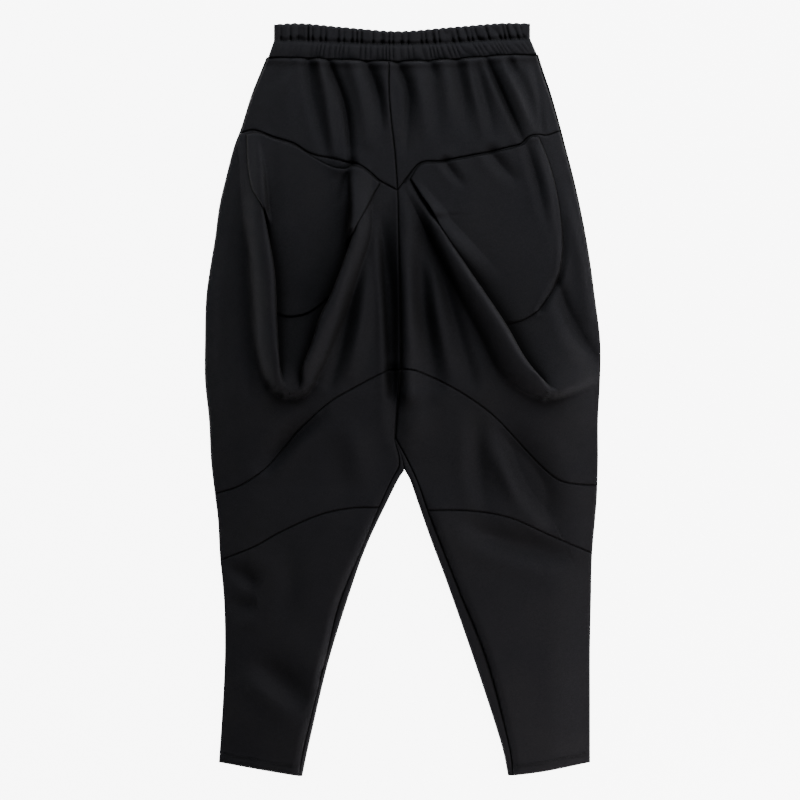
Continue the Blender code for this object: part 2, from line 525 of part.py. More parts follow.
def back_panel(name, outline, leg, inseam, sign):
    """A back panel, flat on the surface and turned up round the leg's inner edge to the inseam."""
    turn = INSEAM_Z / 2
    hip_y = np.linspace(outline[0][1], CROTCH[1], HIP_ROWS + 1)[:-1]
    seam = np.array(BACK_SEAM)
    crotch_row, tip_row = len(hip_y), len(hip_y) + THIGH_ROWS[1] + THIGH_ROWS[2]
    rows = []
    leg_line, gusset = curve(leg, 200), curve(GUSSET, 60)
    ys = np.concatenate([hip_y, inseam[:, 1]])
    for row, y in enumerate(ys):
        side_x = float(side(y, outline))
        if y < outline[-1][1]:
            side_x = outline[-1][0]
        low = row >= tip_row
        inner_x = float(np.interp(-y, -leg_line[:, 1], leg_line[:, 0])) if low else float(
            np.interp(-y, -seam[:, 1], seam[:, 0]))
        flat_end = inner_x - sign * (turn if low else 0) - sign * SEAM * 0.6
        hem = row == len(ys) - 1
        side_y = outline[-1][1] if hem else y
        points = [(side_x + (flat_end - side_x) * t, side_y + (y - side_y) * t, 0.0)
                  for t in (0, 1 / 3, 2 / 3, 1)]
        for i in range(1, 6):
            angle = np.pi * i / 5
            points.append((flat_end + sign * turn * np.sin(angle), y, turn * (1 - np.cos(angle))))
        if crotch_row <= row < tip_row:
            middle = float(np.interp(-y, -gusset[:, 1], gusset[:, 0]))
            points[-1] = (middle - sign * SEAM * 0.6, y, INSEAM_Z)
        if row >= crotch_row:
            x = inseam[row - crotch_row][0]
            points.append((x + sign * SEAM * 0.6, y, INSEAM_Z))
        else:
            points.append((flat_end, y, INSEAM_Z))
        if row == 0:
            band_x, band_y = curve(BAND_FOOT, 2 * RIBS).T
            points = [(px, float(np.interp(px, band_x, band_y)) - 2 * SEAM, pz) for px, py, pz in points]
        rows.append(points)
    outer = np.array(rows)
    first = outer[crotch_row]
    below = outer[crotch_row + 1]
    for c in (-1, -2):
        outer[crotch_row, c] = first[c] + (below[c] - first[c]) * 0.45
    normal = np.zeros(outer.shape)
    normal[:, :4, 2] = -1
    for i in range(1, 6):
        angle = np.pi * i / 5
        normal[:, 3 + i] = (sign * np.sin(angle), 0, -np.cos(angle))
    normal[:, -1, 2] = 1

    def skip(row, column):
        if column >= 8:
            return row < crotch_row
        return column >= 3 and row < tip_row

    wall(name, outer, outer - normal * CLOTH, skip)


def waistband():
    """The elastic waistband: a flattened ring with two gathered channels on its front."""
    across = 2 * RIBS
    lines = [curve(points, across) for points in (BAND_TOP, BAND_MID, BAND_FOOT)]
    shares = [(0, 0.0, 0.5), (0, 0.25, 1.0), (0, 0.8, 1.0), (1, 0.0, -0.5), (1, 0.3, 0.8), (1, 1.0, 0.3)]
    turn = BAND_Z / 2
    plain, ribbed = [], []
    for channel, share, size in shares:
        line = lines[channel] * (1 - share) + lines[channel + 1] * share
        line[:, 0] *= BAND_TAPER
        row, ridges = [], []
        for i, (x, y) in enumerate(line):
            end_round = min(1.0, i / 2, (across - i) / 2)
            row.append((x, y, BAND_Z))
            wave = size * (1 if i % 2 else -0.35) * (1 + 0.3 * np.sin(i * 1.7 + channel))
            ridges.append(RIB_HEIGHT * end_round * (wave if size > 0 else size))
        for end, sign in ((-1, 1), (0, -1)):
            x, y = line[end]
            angles = [np.pi / 4, np.pi / 2, 3 * np.pi / 4]
            arc = [(x + sign * turn * np.sin(a), y, turn * (1 + np.cos(a))) for a in angles]
            row += arc if sign > 0 else arc[::-1]
            if sign > 0:
                back = [line[int(round(across * (1 - t)))] for t in np.linspace(0, 1, 12)]
                row += [(px, py, 0.0) for px, py in back]
        ridges += [0.0] * (len(row) - len(ridges))
        plain.append(row)
        ribbed.append(ridges)
    plain = np.array(plain)
    across_run = np.roll(plain, -1, axis=1) - np.roll(plain, 1, axis=1)
    normal = np.cross(across_run, np.gradient(plain, axis=0))
    normal /= np.linalg.norm(normal, axis=-1, keepdims=True)
    if normal[0, RIBS, 2] < 0:
        normal = -normal
    inner = plain - normal * BAND
    outer = plain.copy()
    outer[..., 2] += np.array(ribbed)
    wall("waistband", outer, inner, ring=True)


def side_guide(line, heights, counts):
    parts = [part_of(line, a, b, n) for a, b, n in zip(heights, heights[1:], counts)]
    return np.vstack([parts[0]] + [p[1:] for p in parts[1:]])


def front_half(tag, outline, band_edge, side_end, yoke_seam, thigh_seam, knee_seam, hem, inseam_line,
               levels, lips, cowl, counts, edges):
    """The five front pieces of one half, from the waistband down. Returns the inseam's points."""
    centre = side_guide(CENTRE_DRAPE, levels["centre"], DRAPE_ROWS)
    edge = side_guide(outline, levels["side"], DRAPE_ROWS)
    top_row, foot_row = drape_panel("drape_panel_" + tag, yoke_seam, thigh_seam, centre, edge, cowl, lips,
                                    counts)
    pocket("pocket_" + tag, edges, cowl)
    top_row = thinned(top_row, *YOKE_STEP)
    band_row = seam_stretch(band_edge, CENTRE_YOKE[0], band_edge[side_end], len(top_row) - 1)
    start = curve(CENTRE_YOKE, YOKE_ROWS)
    end = part_of(outline, band_row[-1][1], top_row[-1][1], YOKE_ROWS)
    plain_panel("yoke_front_" + tag, fill(band_row, top_row, start, end))
    knee_y = knee_seam[0][1]
    inseam = side_guide(inseam_line, (CROTCH[1], GAP_TIP[1] + 3, GAP_TIP[1], knee_y), THIGH_ROWS[1:])
    start = np.vstack([curve(CENTRE_THIGH, THIGH_ROWS[0])[:-1], inseam])
    foot_row = thinned(foot_row, *THIGH_STEP)
    knee_row = matched([inseam[-1], *knee_seam[1:]], foot_row)
    end = part_of(outline, foot_row[-1][1], knee_seam[-1][1], len(start) - 1)
    plain_panel("thigh_panel_" + tag, fill(foot_row, knee_row, start, end))
    knee_row = thinned(knee_row, *SHIN_STEP)
    low_inseam = part_of(inseam_line, knee_y, inseam_line[-1][1], SHIN_ROWS)
    end = part_of(outline, knee_seam[-1][1], outline[-1][1], SHIN_ROWS)
    plain_panel("shin_panel_" + tag, fill(knee_row, matched(hem, knee_row), low_inseam, end),
                last_seam=False)
    return np.vstack([inseam, low_inseam[1:]])


for old in list(bpy.data.objects):
    bpy.data.objects.remove(old)

band_edge = [(x * BAND_TAPER, y - SEAM) for x, y in BAND_FOOT]
waistband()
inseam = front_half(
    "left", SIDE_LEFT, band_edge, 0, YOKE_SEAM_LEFT, THIGH_SEAM_LEFT, KNEE_SEAM_LEFT, HEM_LEFT, INSEAM_LEFT,
    {"centre": (271.1, 246, 75, 38.4), "side": (346.0, 262, -10, -122.9)},
    [(joined(LIP_INNER, DRAPE_ROWS), (-1, 0), True), (joined(LIP_OUTER, DRAPE_ROWS), (1, 0), False)],
    COWL_LEFT, (9, 7, 5), POCKET_LEFT)
back_panel("back_left", SIDE_LEFT, LEG_LEFT, inseam, 1)
inseam = front_half(
    "right", SIDE_RIGHT, band_edge, -1, YOKE_SEAM_RIGHT, THIGH_SEAM_RIGHT, KNEE_SEAM_RIGHT, HEM_RIGHT,
    INSEAM_RIGHT, {"centre": (271.1, 246, 70, 38.4), "side": (349.0, 280, 62, -111.8)},
    [(joined(LIP_RIGHT, DRAPE_ROWS), (1, 0.6), True)],
    COWL_RIGHT, (10, 12), POCKET_RIGHT)
back_panel("back_right", SIDE_RIGHT, LEG_RIGHT, inseam, -1)
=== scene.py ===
import bmesh
import bpy
import numpy as np
from mathutils import Matrix, Vector


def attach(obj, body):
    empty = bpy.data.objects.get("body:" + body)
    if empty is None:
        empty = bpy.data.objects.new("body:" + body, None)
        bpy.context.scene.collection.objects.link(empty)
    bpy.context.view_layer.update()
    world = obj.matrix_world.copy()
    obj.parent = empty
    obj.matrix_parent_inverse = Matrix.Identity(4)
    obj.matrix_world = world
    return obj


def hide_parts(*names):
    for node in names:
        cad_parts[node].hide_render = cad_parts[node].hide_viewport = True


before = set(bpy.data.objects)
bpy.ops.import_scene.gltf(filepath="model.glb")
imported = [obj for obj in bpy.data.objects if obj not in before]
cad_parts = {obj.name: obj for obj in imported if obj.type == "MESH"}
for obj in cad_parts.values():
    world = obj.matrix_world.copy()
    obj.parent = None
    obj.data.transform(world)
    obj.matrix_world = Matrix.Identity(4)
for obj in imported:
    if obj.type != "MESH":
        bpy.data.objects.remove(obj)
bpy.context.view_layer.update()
print("frame loaded:", len(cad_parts), "nodes")

# Drop-crotch trousers in black double knit, laid flat on their back. Places and sizes are
# millimetres on the drawing of the front, +y to the waist, and centring moves them into the frame.
mm = 0.001
centring = (-0.75, 0.06)
seamGap = -0.08       # neighbours overlap by a hair at a seam

cloth = {
    "thickness": 1.1,
    "edgeZ": 3.4,         # top of the front cloth at the side seams
    "inseamZ": 8.0,       # top of the cloth at the inner leg seams
    "sideRound": 58.0,    # width over which the front rounds down to a side seam
    "inseamRound": 12.0,
    "legLean": 4.0,       # how much higher a leg is beside its inner seam than at its side
    "leanStart": 30.0,    # how far below the crotch that starts, and the height it takes
    "leanRun": 90.0,
    "leastZ": 2.7,        # the front never sinks to the back
    "leastRound": 0.6,    # how softly deep creases level out there
    "bandZ": 6.2,         # height of the waistband
    "seamDepth": 0.9,     # how far a sewn edge turns down
    "seamWidth": 1.1,
    "seamShare": 0.55,    # share of a seam's gap that each of its two pieces takes
}
detail = {                # stretches that lines are cut into
    "curve": 40,          # between two given points of a smooth curve
    "seam": 400,
    "side": 600,
    "outline": 240,
    "inseam": 60,
    "band": 100,
    "evenRounds": 40,     # rounds that even out a filled grid
}
crotch = (-9.1, -50.1)
gapTip = (3.2, -91.7)

outline = [  # y, left, right
    (443.9, -174.2, 175.5), (415.4, -185.9, 184.6), (389.4, -196.3, 193.7), (349.0, -209.0, 205.4),
    (324.4, -218.4, 211.9), (285.4, -228.8, 222.3), (246.3, -237.9, 231.4), (207.3, -243.1, 239.2),
    (168.3, -249.6, 245.7), (129.3, -254.8, 250.9), (77.4, -256.1, 257.4), (25.4, -256.1, 257.4),
    (-26.7, -250.9, 254.8), (-78.7, -248.3, 254.8), (-124.2, -243.1, 253.5),
    (-156.7, -239.2, 250.9), (-203.5, -236.6, 247.0), (-260.7, -231.4, 245.7),
    (-325.7, -230.1, 244.4), (-390.7, -232.7, 244.4), (-471.2, -237.9, 244.4)]
crown = [  # y, height of the front cloth away from its seams
    (490.0, 6.4), (440.0, 7.0), (340.0, 8.4), (100.0, 9.6), (10.0, 11.6), (-110.0, 7.0),
    (-200.0, 7.0), (-340.0, 7.8), (-490.0, 5.9)]

# Soft ridges and troughs: three points of each, its width on its left and right going along it,
# its height at those points, and how sharp its bottom or crest is.
creases = [  # x0, y0, xm, ym, x1, y1, left, right, start, middle, end, sharp
    (-143, 452, -152, 430, -179, 405, 7, 7, -1.8, -1.4, 0, 0),
    (-122, 443, -118, 400, -101, 327, 7, 7, -2.6, -2.6, -0.8, 0.3),
    (-95, 438, -74, 378, -66, 307, 5.5, 5.5, -3.6, -4.6, -2.6, 0.6),
    (-108, 440, -97, 390, -88, 320, 6, 6, 2.2, 2.4, 1.2, 0),
    (-66, 436, -53, 389, -46, 335, 9, 9, 2.4, 2.8, 0.8, 0),
    (-46, 437, -31, 395, -24, 345, 6.5, 6.5, -3.4, -3.0, 0, 0.4),
    (-6, 438, 8, 395, 5, 325, 6, 6, -3.2, -3.0, -0.8, 0.5),
    (17, 436, 26, 389, 30, 335, 9, 9, 2.2, 2.6, 0.4, 0),
    (35, 440, 40, 428, 45, 412, 5, 5, -2.0, -1.2, 0, 0),
    (52, 440, 58, 398, 62, 350, 9, 9, 1.6, 1.8, 0.3, 0),
    (86, 440, 96, 390, 104, 345, 6, 6, 1.2, 1.4, 0.4, 0),
    (-24, 438, -20, 395, -16, 345, 7, 7, 1.6, 1.4, 0.4, 0),
    (-150, 440, -150, 400, -150, 360, 12, 12, 1.0, 1.0, 0.2, 0),
    (70, 440, 78, 398, 84, 350, 7.5, 7.5, -2.6, -2.4, -0.4, 0.2),
    (98, 425, 110, 385, 119, 345, 7, 7, -1.6, -2.2, -0.4, 0.2),
    (109, 443, 130, 396, 156, 338, 4.5, 4.5, -2.6, -4.4, -2.0, 0.7),
    (127, 440, 151, 392, 170, 345, 7, 7, 1.4, 3.0, 1.2, 0),
    (153, 445, 176, 392, 185, 345, 7, 7, 2.0, 2.0, 0.6, 0),
    (139, 441, 143, 430, 149, 418, 4.5, 4.5, -1.8, -1.2, 0, 0),
    (153, 447, 157, 436, 162, 424, 4, 4, -1.6, -1.0, 0, 0),
    (162, 328, 175, 283, 186, 232, 6, 6, -2.0, -2.8, -0.4, 0.3),
    (116, 319, 130, 302, 152, 278, 8, 8, -3.4, -2.6, 0, 0.3),
    (56, 308, 66, 294, 82, 274, 6, 6, -2.8, -2.2, 0, 0.3),
    (-184, 340, -184, 300, -181, 250, 9, 9, 0.6, 1.6, 0.8, 0),
    (-66, 306, -74, 284, -82, 250, 6, 6, -1.6, -1.8, 0, 0.4),
    (-204, 270, -205, 150, -198, 10, 9, 9, -0.6, -2.0, -1.0, 0),
    (-27, 238, -17, 125, -12, 8, 10, 6, -0.6, -7.6, -3.0, 0.2),
    (-12, 36, -10, 0, -8, -44, 8, 8, -3.0, -2.6, -1.2, 0.2),
    (-43, 190, -52, 105, -66, 35, 9, 9, 0.6, 2.8, 1.0, 0),
    (-60, 160, -76, 80, -92, 20, 8, 8, -0.6, -3.0, -1.6, 0.3),
    (4, 256, 8, 150, 10, 10, 12, 12, 1.6, 5.6, 4.4, 0),
    (22, 215, 29, 110, 45, 22, 10, 10, -0.8, -3.8, -1.2, 0),
    (172, 434, 179, 392, 183, 350, 4, 4, -1.4, -2.2, -1.6, 0.3),
    (176, 325, 190, 275, 196, 225, 5, 5, 0.6, 1.2, 0.4, 0),
    (14, 256, 58, 140, 91, 24, 8, 8, -1.0, -3.4, -1.6, 0.1),
    (34, 150, 50, 90, 64, 22, 8, 8, 0, 1.8, 0.6, 0),
    (203, 150, 226, 92, 262, 44, 12, 12, -3.0, -9.0, -8.0, 0.8),
    (209, 232, 207, 168, 180, 117, 4, 4, -0.8, -2.4, -1.6, 0.2),
    (212, 270, 234, 190, 248, 110, 9, 9, 1.4, 4.8, 4.4, 0),
    (-232, 255, -238, 150, -238, 40, 10, 10, 0.4, 2.0, 0.4, 0),
    (124, -36, 152, -76, 196, -158, 22, 12, -1.6, -7.6, -3.0, 0.3),
    (98, -20, 99, -94, 110, -142, 11, 11, -0.6, -3.2, -0.8, 0),
    (124, -70, 136, -105, 150, -140, 10, 10, 0.4, 2.6, 0.6, 0),
    (15, 20, 18, -20, 14, -60, 14, 14, 0.6, 2.2, 0.6, 0),
    (-107, -22, -142, -50, -176, -86, 9, 13, -1.2, -6.0, -2.4, 0.3),
    (-80, -30, -60, -62, -52, -118, 16, 16, 0.2, 2.0, 0.4, 0),
    (78, -154, 122, -180, 222, -206, 18, 14, -0.8, -6.2, -2.0, 0.2),
    (-234, -214, -212, -228, -184, -244, 14, 10, -2.6, -5.4, -0.6, 0.1),
    (-234, -262, -212, -268, -188, -262, 16, 12, -2.6, -4.8, -0.4, 0),
    (-233, -190, -222, -206, -205, -218, 7, 7, 0.8, 1.4, 0, 0),
    (-150, -175, -146, -230, -150, -300, 14, 14, 0, -1.0, 0, 0),
    (-196, -330, -162, -366, -124, -398, 24, 16, -0.6, -4.2, -1.2, 0),
    (-222, -359, -175, -380, -130, -415, 13, 13, 0, 2.0, 0, 0)]

# Seams, each as the few points of a smooth curve.
bandTop = [(-166.4, 486.9), (-132.6, 488.2), (-74.1, 483.0), (-5.2, 478.0), (62.4, 483.0),
           (127.4, 488.2), (166.4, 488.2)]
bandMid = [(-166.4, 466.1), (-132.6, 466.1), (-74.1, 463.4), (-5.2, 461.5), (62.4, 463.4),
           (127.4, 467.4), (166.4, 468.7)]
bandFoot = [(-174.0, 444.6), (-132.6, 443.3), (-74.1, 440.7), (-5.2, 438.8), (62.4, 441.4),
            (127.4, 446.6), (175.4, 448.2)]
bandTaper = 1 - cloth["bandZ"] / 2 / bandFoot[-1][0]
centreYoke = [(-16.9, 439.3), (-16.9, 398.4), (-13.7, 358.2), (-9.1, 317.9), (-5.9, 271.1)]
centreDrape = [(-5.9, 271.1), (-5.0, 240.0), (-2.6, 84.0), (-2.6, 38.4)]
centreThigh = [(-2.6, 38.4), (-5.5, 0.0), crotch]
gusset = [crotch, (-1.5, -70.0), gapTip]
backSeam = [(-4.0, 438.5), (3.2, -91.7)]


def smoothLine(points, count):
    # count even stretches on a smooth curve through the points
    control = np.array(points, float)
    ends = np.vstack([2 * control[0] - control[1], control, 2 * control[-1] - control[-2]])
    fine = [control[0]]
    for a, b, c, d in zip(ends, ends[1:], ends[2:], ends[3:]):
        for t in np.linspace(1 / detail["curve"], 1, detail["curve"]):
            fine.append(0.5 * (2 * b + (c - a) * t + (2 * a - 5 * b + 4 * c - d) * t ** 2
                               + (3 * b - a - 3 * c + d) * t ** 3))
    return evenly(np.array(fine), count)


def runLength(line):
    # distance along a line at each of its points
    return np.append(0, np.cumsum(np.linalg.norm(np.diff(line, axis=0), axis=1)))


def evenly(line, count):
    length = runLength(line[:, :2])
    places = np.linspace(0, length[-1], count + 1)
    return np.stack([np.interp(places, length, line[:, i]) for i in range(line.shape[1])], axis=1)


def chained(parts):
    # lines that follow on each other, without the points they share
    return np.vstack([parts[0]] + [part[1:] for part in parts[1:]])


def joinLines(stretches, counts):
    return chained([smoothLine(points, count) for points, count in zip(stretches, counts)])


def ease(t):
    t = np.clip(t, 0, 1)
    return t * t * (3 - 2 * t)


def nearest(x, y, line):
    # distance to a line, the place on it in points of the line, and which side (left is +)
    best = np.full(np.shape(x), np.inf)
    place = np.zeros(np.shape(x))
    side = np.zeros(np.shape(x))
    for i, (a, b) in enumerate(zip(line, line[1:])):
        run = b[:2] - a[:2]
        t = np.clip(((x - a[0]) * run[0] + (y - a[1]) * run[1]) / (run @ run), 0, 1)
        gap = np.hypot(x - a[0] - t * run[0], y - a[1] - t * run[1])
        closer = gap < best
        best = np.where(closer, gap, best)
        place = np.where(closer, i + t, place)
        side = np.where(closer, run[0] * (y - a[1]) - run[1] * (x - a[0]), side)
    return best, place, side


def along(line, places):
    index = np.arange(len(line))
    return np.stack([np.interp(places, index, line[:, i]) for i in range(line.shape[1])], axis=1)


def seamStretch(seam, start, end, count):
    # the stretch of a seam between the places nearest to two points
    line = smoothLine(seam, detail["seam"])
    at = [float(nearest(p[0], p[1], line)[1]) for p in (start, end)]
    return along(line, np.linspace(at[0], at[1], count + 1))


def onSeam(points, seam):
    line = smoothLine(seam, detail["seam"])
    return along(line, nearest(points[:, 0], points[:, 1], line)[1])


def stretchOf(line, top, foot, count):
    # the stretch of a line between two heights
    fine = smoothLine(line, detail["side"])
    inside = fine[(fine[:, 1] < top - 0.01) & (fine[:, 1] > foot + 0.01)]
    ends = [[np.interp(-y, -fine[:, 1], fine[:, 0]), y] for y in (top, foot)]
    return evenly(np.vstack([ends[0], inside, ends[1]]), count)


def sideGuide(line, heights, counts):
    return chained([stretchOf(line, a, b, n) for a, b, n in zip(heights, heights[1:], counts)])


outlineRows = np.array(outline)
inseamLeft = [crotch, (-2.6, -82.5), (-11.7, -102.0), (-28.6, -138.5), (-46.8, -182.7),
              (-80.6, -263.2), (-99.0, -338.7), (-125.0, -442.7), (-133.8, -488.7)]
inseamRight = [crotch, (7.8, -81.2), (20.8, -109.9), (32.5, -143.7), (48.1, -184.0),
               (75.4, -252.9), (109.5, -338.7), (137.0, -442.7), (144.0, -487.9)]
sideLines = {"left": smoothLine(outlineRows[:, [1, 0]], detail["outline"]),
             "right": smoothLine(outlineRows[:, [2, 0]], detail["outline"])}
inseams = {"left": smoothLine(inseamLeft, detail["inseam"]),
           "right": smoothLine(inseamRight, detail["inseam"])}
bandX, bandY = smoothLine(bandFoot, detail["band"]).T


def sideX(y, line):
    # where a line that runs down the drawing is at each height
    return np.interp(-np.asarray(y, float), -line[:, 1], line[:, 0])


creaseForm = {
    "points": 12,         # stretches along a crease
    "reach": 5,           # how far out it still counts, in widths
    "shoulder": 0.22,     # how much the cloth beside a soft crease goes the other way
    "shoulderAt": 2,
    "shoulderWidth": 0.9,
    "keenFall": 1.6,      # how fast a sharp crease falls off
    "keenRound": 0.03,    # how round it is at its bottom or crest
    "keenShift": 0.17,
}


def creaseHeight(x, y):
    form = creaseForm
    total = np.zeros(np.shape(x))
    for x0, y0, xm, ym, x1, y1, left, right, start, middle, end, sharp in creases:
        line = smoothLine([(x0, y0), (xm, ym), (x1, y1)], form["points"])
        reach = form["reach"] * max(left, right)
        low, high = line.min(0) - reach, line.max(0) + reach
        near = (x > low[0]) & (x < high[0]) & (y > low[1]) & (y < high[1])
        gap, place, side = nearest(x[near], y[near], line)
        t = place / form["points"]
        size = start * (1 - t) * (1 - 2 * t) + middle * 4 * t * (1 - t) + end * t * (2 * t - 1)
        away = gap / np.where(side > 0, left, right)
        shoulder = np.exp(-((away - form["shoulderAt"]) / form["shoulderWidth"]) ** 2)
        soft = np.exp(-away ** 2) - form["shoulder"] * shoulder
        keen = np.exp(-form["keenFall"] * (np.sqrt(away ** 2 + form["keenRound"])
                                           - form["keenShift"])) * (1 - ease(away / form["reach"]))
        total[near] += size * (soft * (1 - sharp) + keen * sharp)
    return total


def panelHeight(x, y):
    # top of the front cloth without its cowls
    x, y = np.asarray(x, float), np.asarray(y, float)
    rows = np.array(crown)[::-1]
    top = np.interp(y, rows[:, 0], rows[:, 1])
    toSide = np.minimum(x - sideX(y, sideLines["left"]), sideX(y, sideLines["right"]) - x)
    toSeam = np.full(x.shape, np.inf)
    low = y < crotch[1] + cloth["inseamRound"] + 1
    for line in inseams.values():
        toSeam[low] = np.minimum(toSeam[low], nearest(x[low], y[low], line)[0])
    nearSide = 1 - np.sin(np.pi / 2 * np.clip(toSide / cloth["sideRound"], 0, 1))
    nearSeam = 1 - np.sin(np.pi / 2 * np.clip(toSeam / cloth["inseamRound"], 0, 1))
    inner = np.where(low, toSide / (toSide + toSeam), 0)
    below = ease((crotch[1] - cloth["leanStart"] - y) / cloth["leanRun"])
    top = top + cloth["legLean"] * inner * below
    height = top - (top - cloth["edgeZ"]) * nearSide - (top - cloth["inseamZ"]) * nearSeam
    height = height + creaseHeight(x, y) * (1 - nearSide) * (1 - nearSeam)
    over = height - cloth["leastZ"]
    return cloth["leastZ"] + 0.5 * (over + np.sqrt(over ** 2 + cloth["leastRound"]))


cowl = {
    "floorReach": 115.0,  # how far from a hollow's bottom its floor has fallen to the panel
    "floorPower": 1.3,
    "floorBlend": 8.0,    # how far the heights along the bottom mix
    "floorPoints": 24,    # stretches of the bottom that the floor is blended from
    "floorRound": 5.0,    # how softly the floor leaves the bottom
    "drops": (0, 2.5, 6, 8.5, 11),   # how far a fold falls, and the degrees that its edge turns
    "turns": (0, 45, 90, 135, 180),
    "leastTurn": 8.0,
    "tuck": 10.0,         # depth of cloth turned under, from tuckStart degrees on
    "tuckStart": 120.0,
    "tuckRun": 60.0,
    "foot": 1.25,         # radius of the turn at the back
    "leastArc": 4.0,      # least length of a crest, its least radius, and least lengths of the rest
    "leastRadius": 2.6,
    "leastTuck": 0.6,
    "leastFoot": 1.5,
    "rimPoints": 70,      # stretches along a rim
    "crestCount": 10,     # stretches round a fold edge's crest, down its tuck and round its foot
    "tuckCount": 4,
    "footCount": 5,
    "turnRounds": 60,     # rounds of smoothing where the lip turns a corner
    "seamReach": 26.0,    # distance over which a fold's rows turn to run along its seam
    "seamStep": 3,        # stretches of the seam to either side that give its direction
    "rollFoot": 0.012,    # how softly a roll meets the panel
    "leastRise": -4,      # a roll's curve stops falling here, far out from it
    "crestWide": 1.5,     # how much flatter than round a roll's crest is
    "swell": 0.12,        # share of a roll's height that runs far out from it
    "swellWidth": 100.0,
}
# A cowl's rim: how far its cloth stands above the panel there, and over what width the roll
# then falls. The soft part is its bottom, from one point to another, and a lower steep value
# stands the roll's foot up more.
rims = {
    "left": {"points": [  # x, y, height, width
        (-193.0, 349.0, 0, 24), (-184.0, 300.0, 4.5, 26), (-178.5, 241.0, 9, 28),
        (-174.5, 222.0, 11, 29), (-168.0, 190.0, 13.5, 30), (-162.5, 130.0, 15.5, 31),
        (-160.5, 80.0, 16, 30), (-157.5, 40.0, 15.5, 24), (-152.5, 20.0, 12, 17),
        (-143.5, 12.5, 9, 11), (-134.5, 13.5, 9.5, 12), (-128.5, 23.0, 13, 16),
        (-126.0, 50.0, 17, 26), (-112.5, 90.0, 18, 28), (-92.3, 136.0, 18, 26),
        (-77.5, 175.0, 16.5, 24), (-65.0, 213.0, 14, 24), (-62.0, 238.0, 11, 23),
        (-63.7, 270.0, 6.5, 24), (-64.0, 306.0, 1, 24)],
        "soft": (8, 10), "steep": 0.62},
    "right": {"points": [
        (9.1, 284.1, 0, 10), (36.0, 244.0, 5, 16), (61.1, 206.1, 11, 22),
        (92.3, 160.6, 16, 29), (133.9, 98.8, 18, 37), (159.9, 53.2, 17, 38),
        (186.0, 21.0, 13, 24), (198.0, 13.5, 9.5, 12), (212.0, 18.0, 7.5, 13),
        (230.0, 30.0, 5.5, 18), (255.0, 47.0, 2.5, 18)],
        "soft": (7, 10), "steep": 0.85},
}


def rimTop(x, y, tag):
    # how far the rolled cloth outside a cowl stands above the panel
    rim = smoothLine(rims[tag]["points"], cowl["rimPoints"])
    gap, place, _ = nearest(x, y, rim)
    height, width = along(rim, place.ravel()).T[2:].reshape((2,) + np.shape(place))
    rounded = np.maximum(1 - (gap / width) ** 2, cowl["leastRise"])
    drop = (0.5 * (rounded + np.sqrt(rounded ** 2 + cowl["rollFoot"]))) ** rims[tag]["steep"]
    swell = 1 - ease(gap / cowl["swellWidth"])
    return height * (drop * (1 - cowl["swell"]) + swell * cowl["swell"])


def hollowFloor(x, y, tag):
    # how far the floor of a cowl stands above the panel
    first, last = rims[tag]["soft"]
    bottom = np.array(rims[tag]["points"], float)[first:last + 1, :3]
    soft = evenly(bottom, cowl["floorPoints"])
    side = nearest(x, y, soft[:, :2])[2]
    far = np.array([np.hypot(x - px, y - py) for px, py, _ in soft])
    weight = np.exp((far.min(0) - far) / cowl["floorBlend"])
    height = np.tensordot(soft[:, 2], weight, 1) / weight.sum(0)
    away = (far * weight).sum(0) / weight.sum(0)
    gap = np.sqrt(away ** 2 + cowl["floorRound"] ** 2) - cowl["floorRound"]
    floor = height * np.clip(1 - gap / cowl["floorReach"], 0, 1) ** cowl["floorPower"]
    return np.where(side > 0, floor, np.minimum(floor, rimTop(x, y, tag)))


def foldSection(drop):
    # a fold edge's section from crest to floor: (out past the edge, up from the floor)
    turn = np.radians(max(cowl["leastTurn"], np.interp(drop, cowl["drops"], cowl["turns"])))
    past = (np.degrees(turn) - cowl["tuckStart"]) / cowl["tuckRun"]
    under = cowl["tuck"] * np.clip(past, 0, 1)
    fall = 1 - np.cos(turn)
    radius = max((drop - under * np.sin(turn) - cowl["foot"] * fall) / fall,
                 cowl["leastArc"] / turn, cowl["leastRadius"])
    crest, tuck, foot = cowl["crestCount"], cowl["tuckCount"], cowl["footCount"]
    headings = [turn * (i + 0.5) / crest for i in range(crest)] + [turn] * tuck
    headings += [turn * (1 - (i + 0.5) / foot) for i in range(foot)]
    lengths = [radius * turn / crest] * crest + [(under + cowl["leastTuck"]) / tuck] * tuck
    lengths += [max(cowl["foot"] * turn, cowl["leastFoot"]) / foot] * foot
    steps = np.array([(n * np.cos(h), -n * np.sin(h)) for h, n in zip(headings, lengths)])
    points = np.vstack([(0.0, 0.0), np.cumsum(steps, axis=0)])
    points[:, 0] -= radius * np.sin(min(turn, np.pi / 2))
    edge = min(np.argmax(points[:, 0]), crest)
    points[:edge, 0] = points[edge, 0] + (points[:edge, 0] - points[edge, 0]) * cowl["crestWide"]
    points[:, 1] = 1 - points[:, 1] / points[-1, 1]
    return points


def unit(vectors):
    return vectors / np.linalg.norm(vectors, axis=-1, keepdims=True)


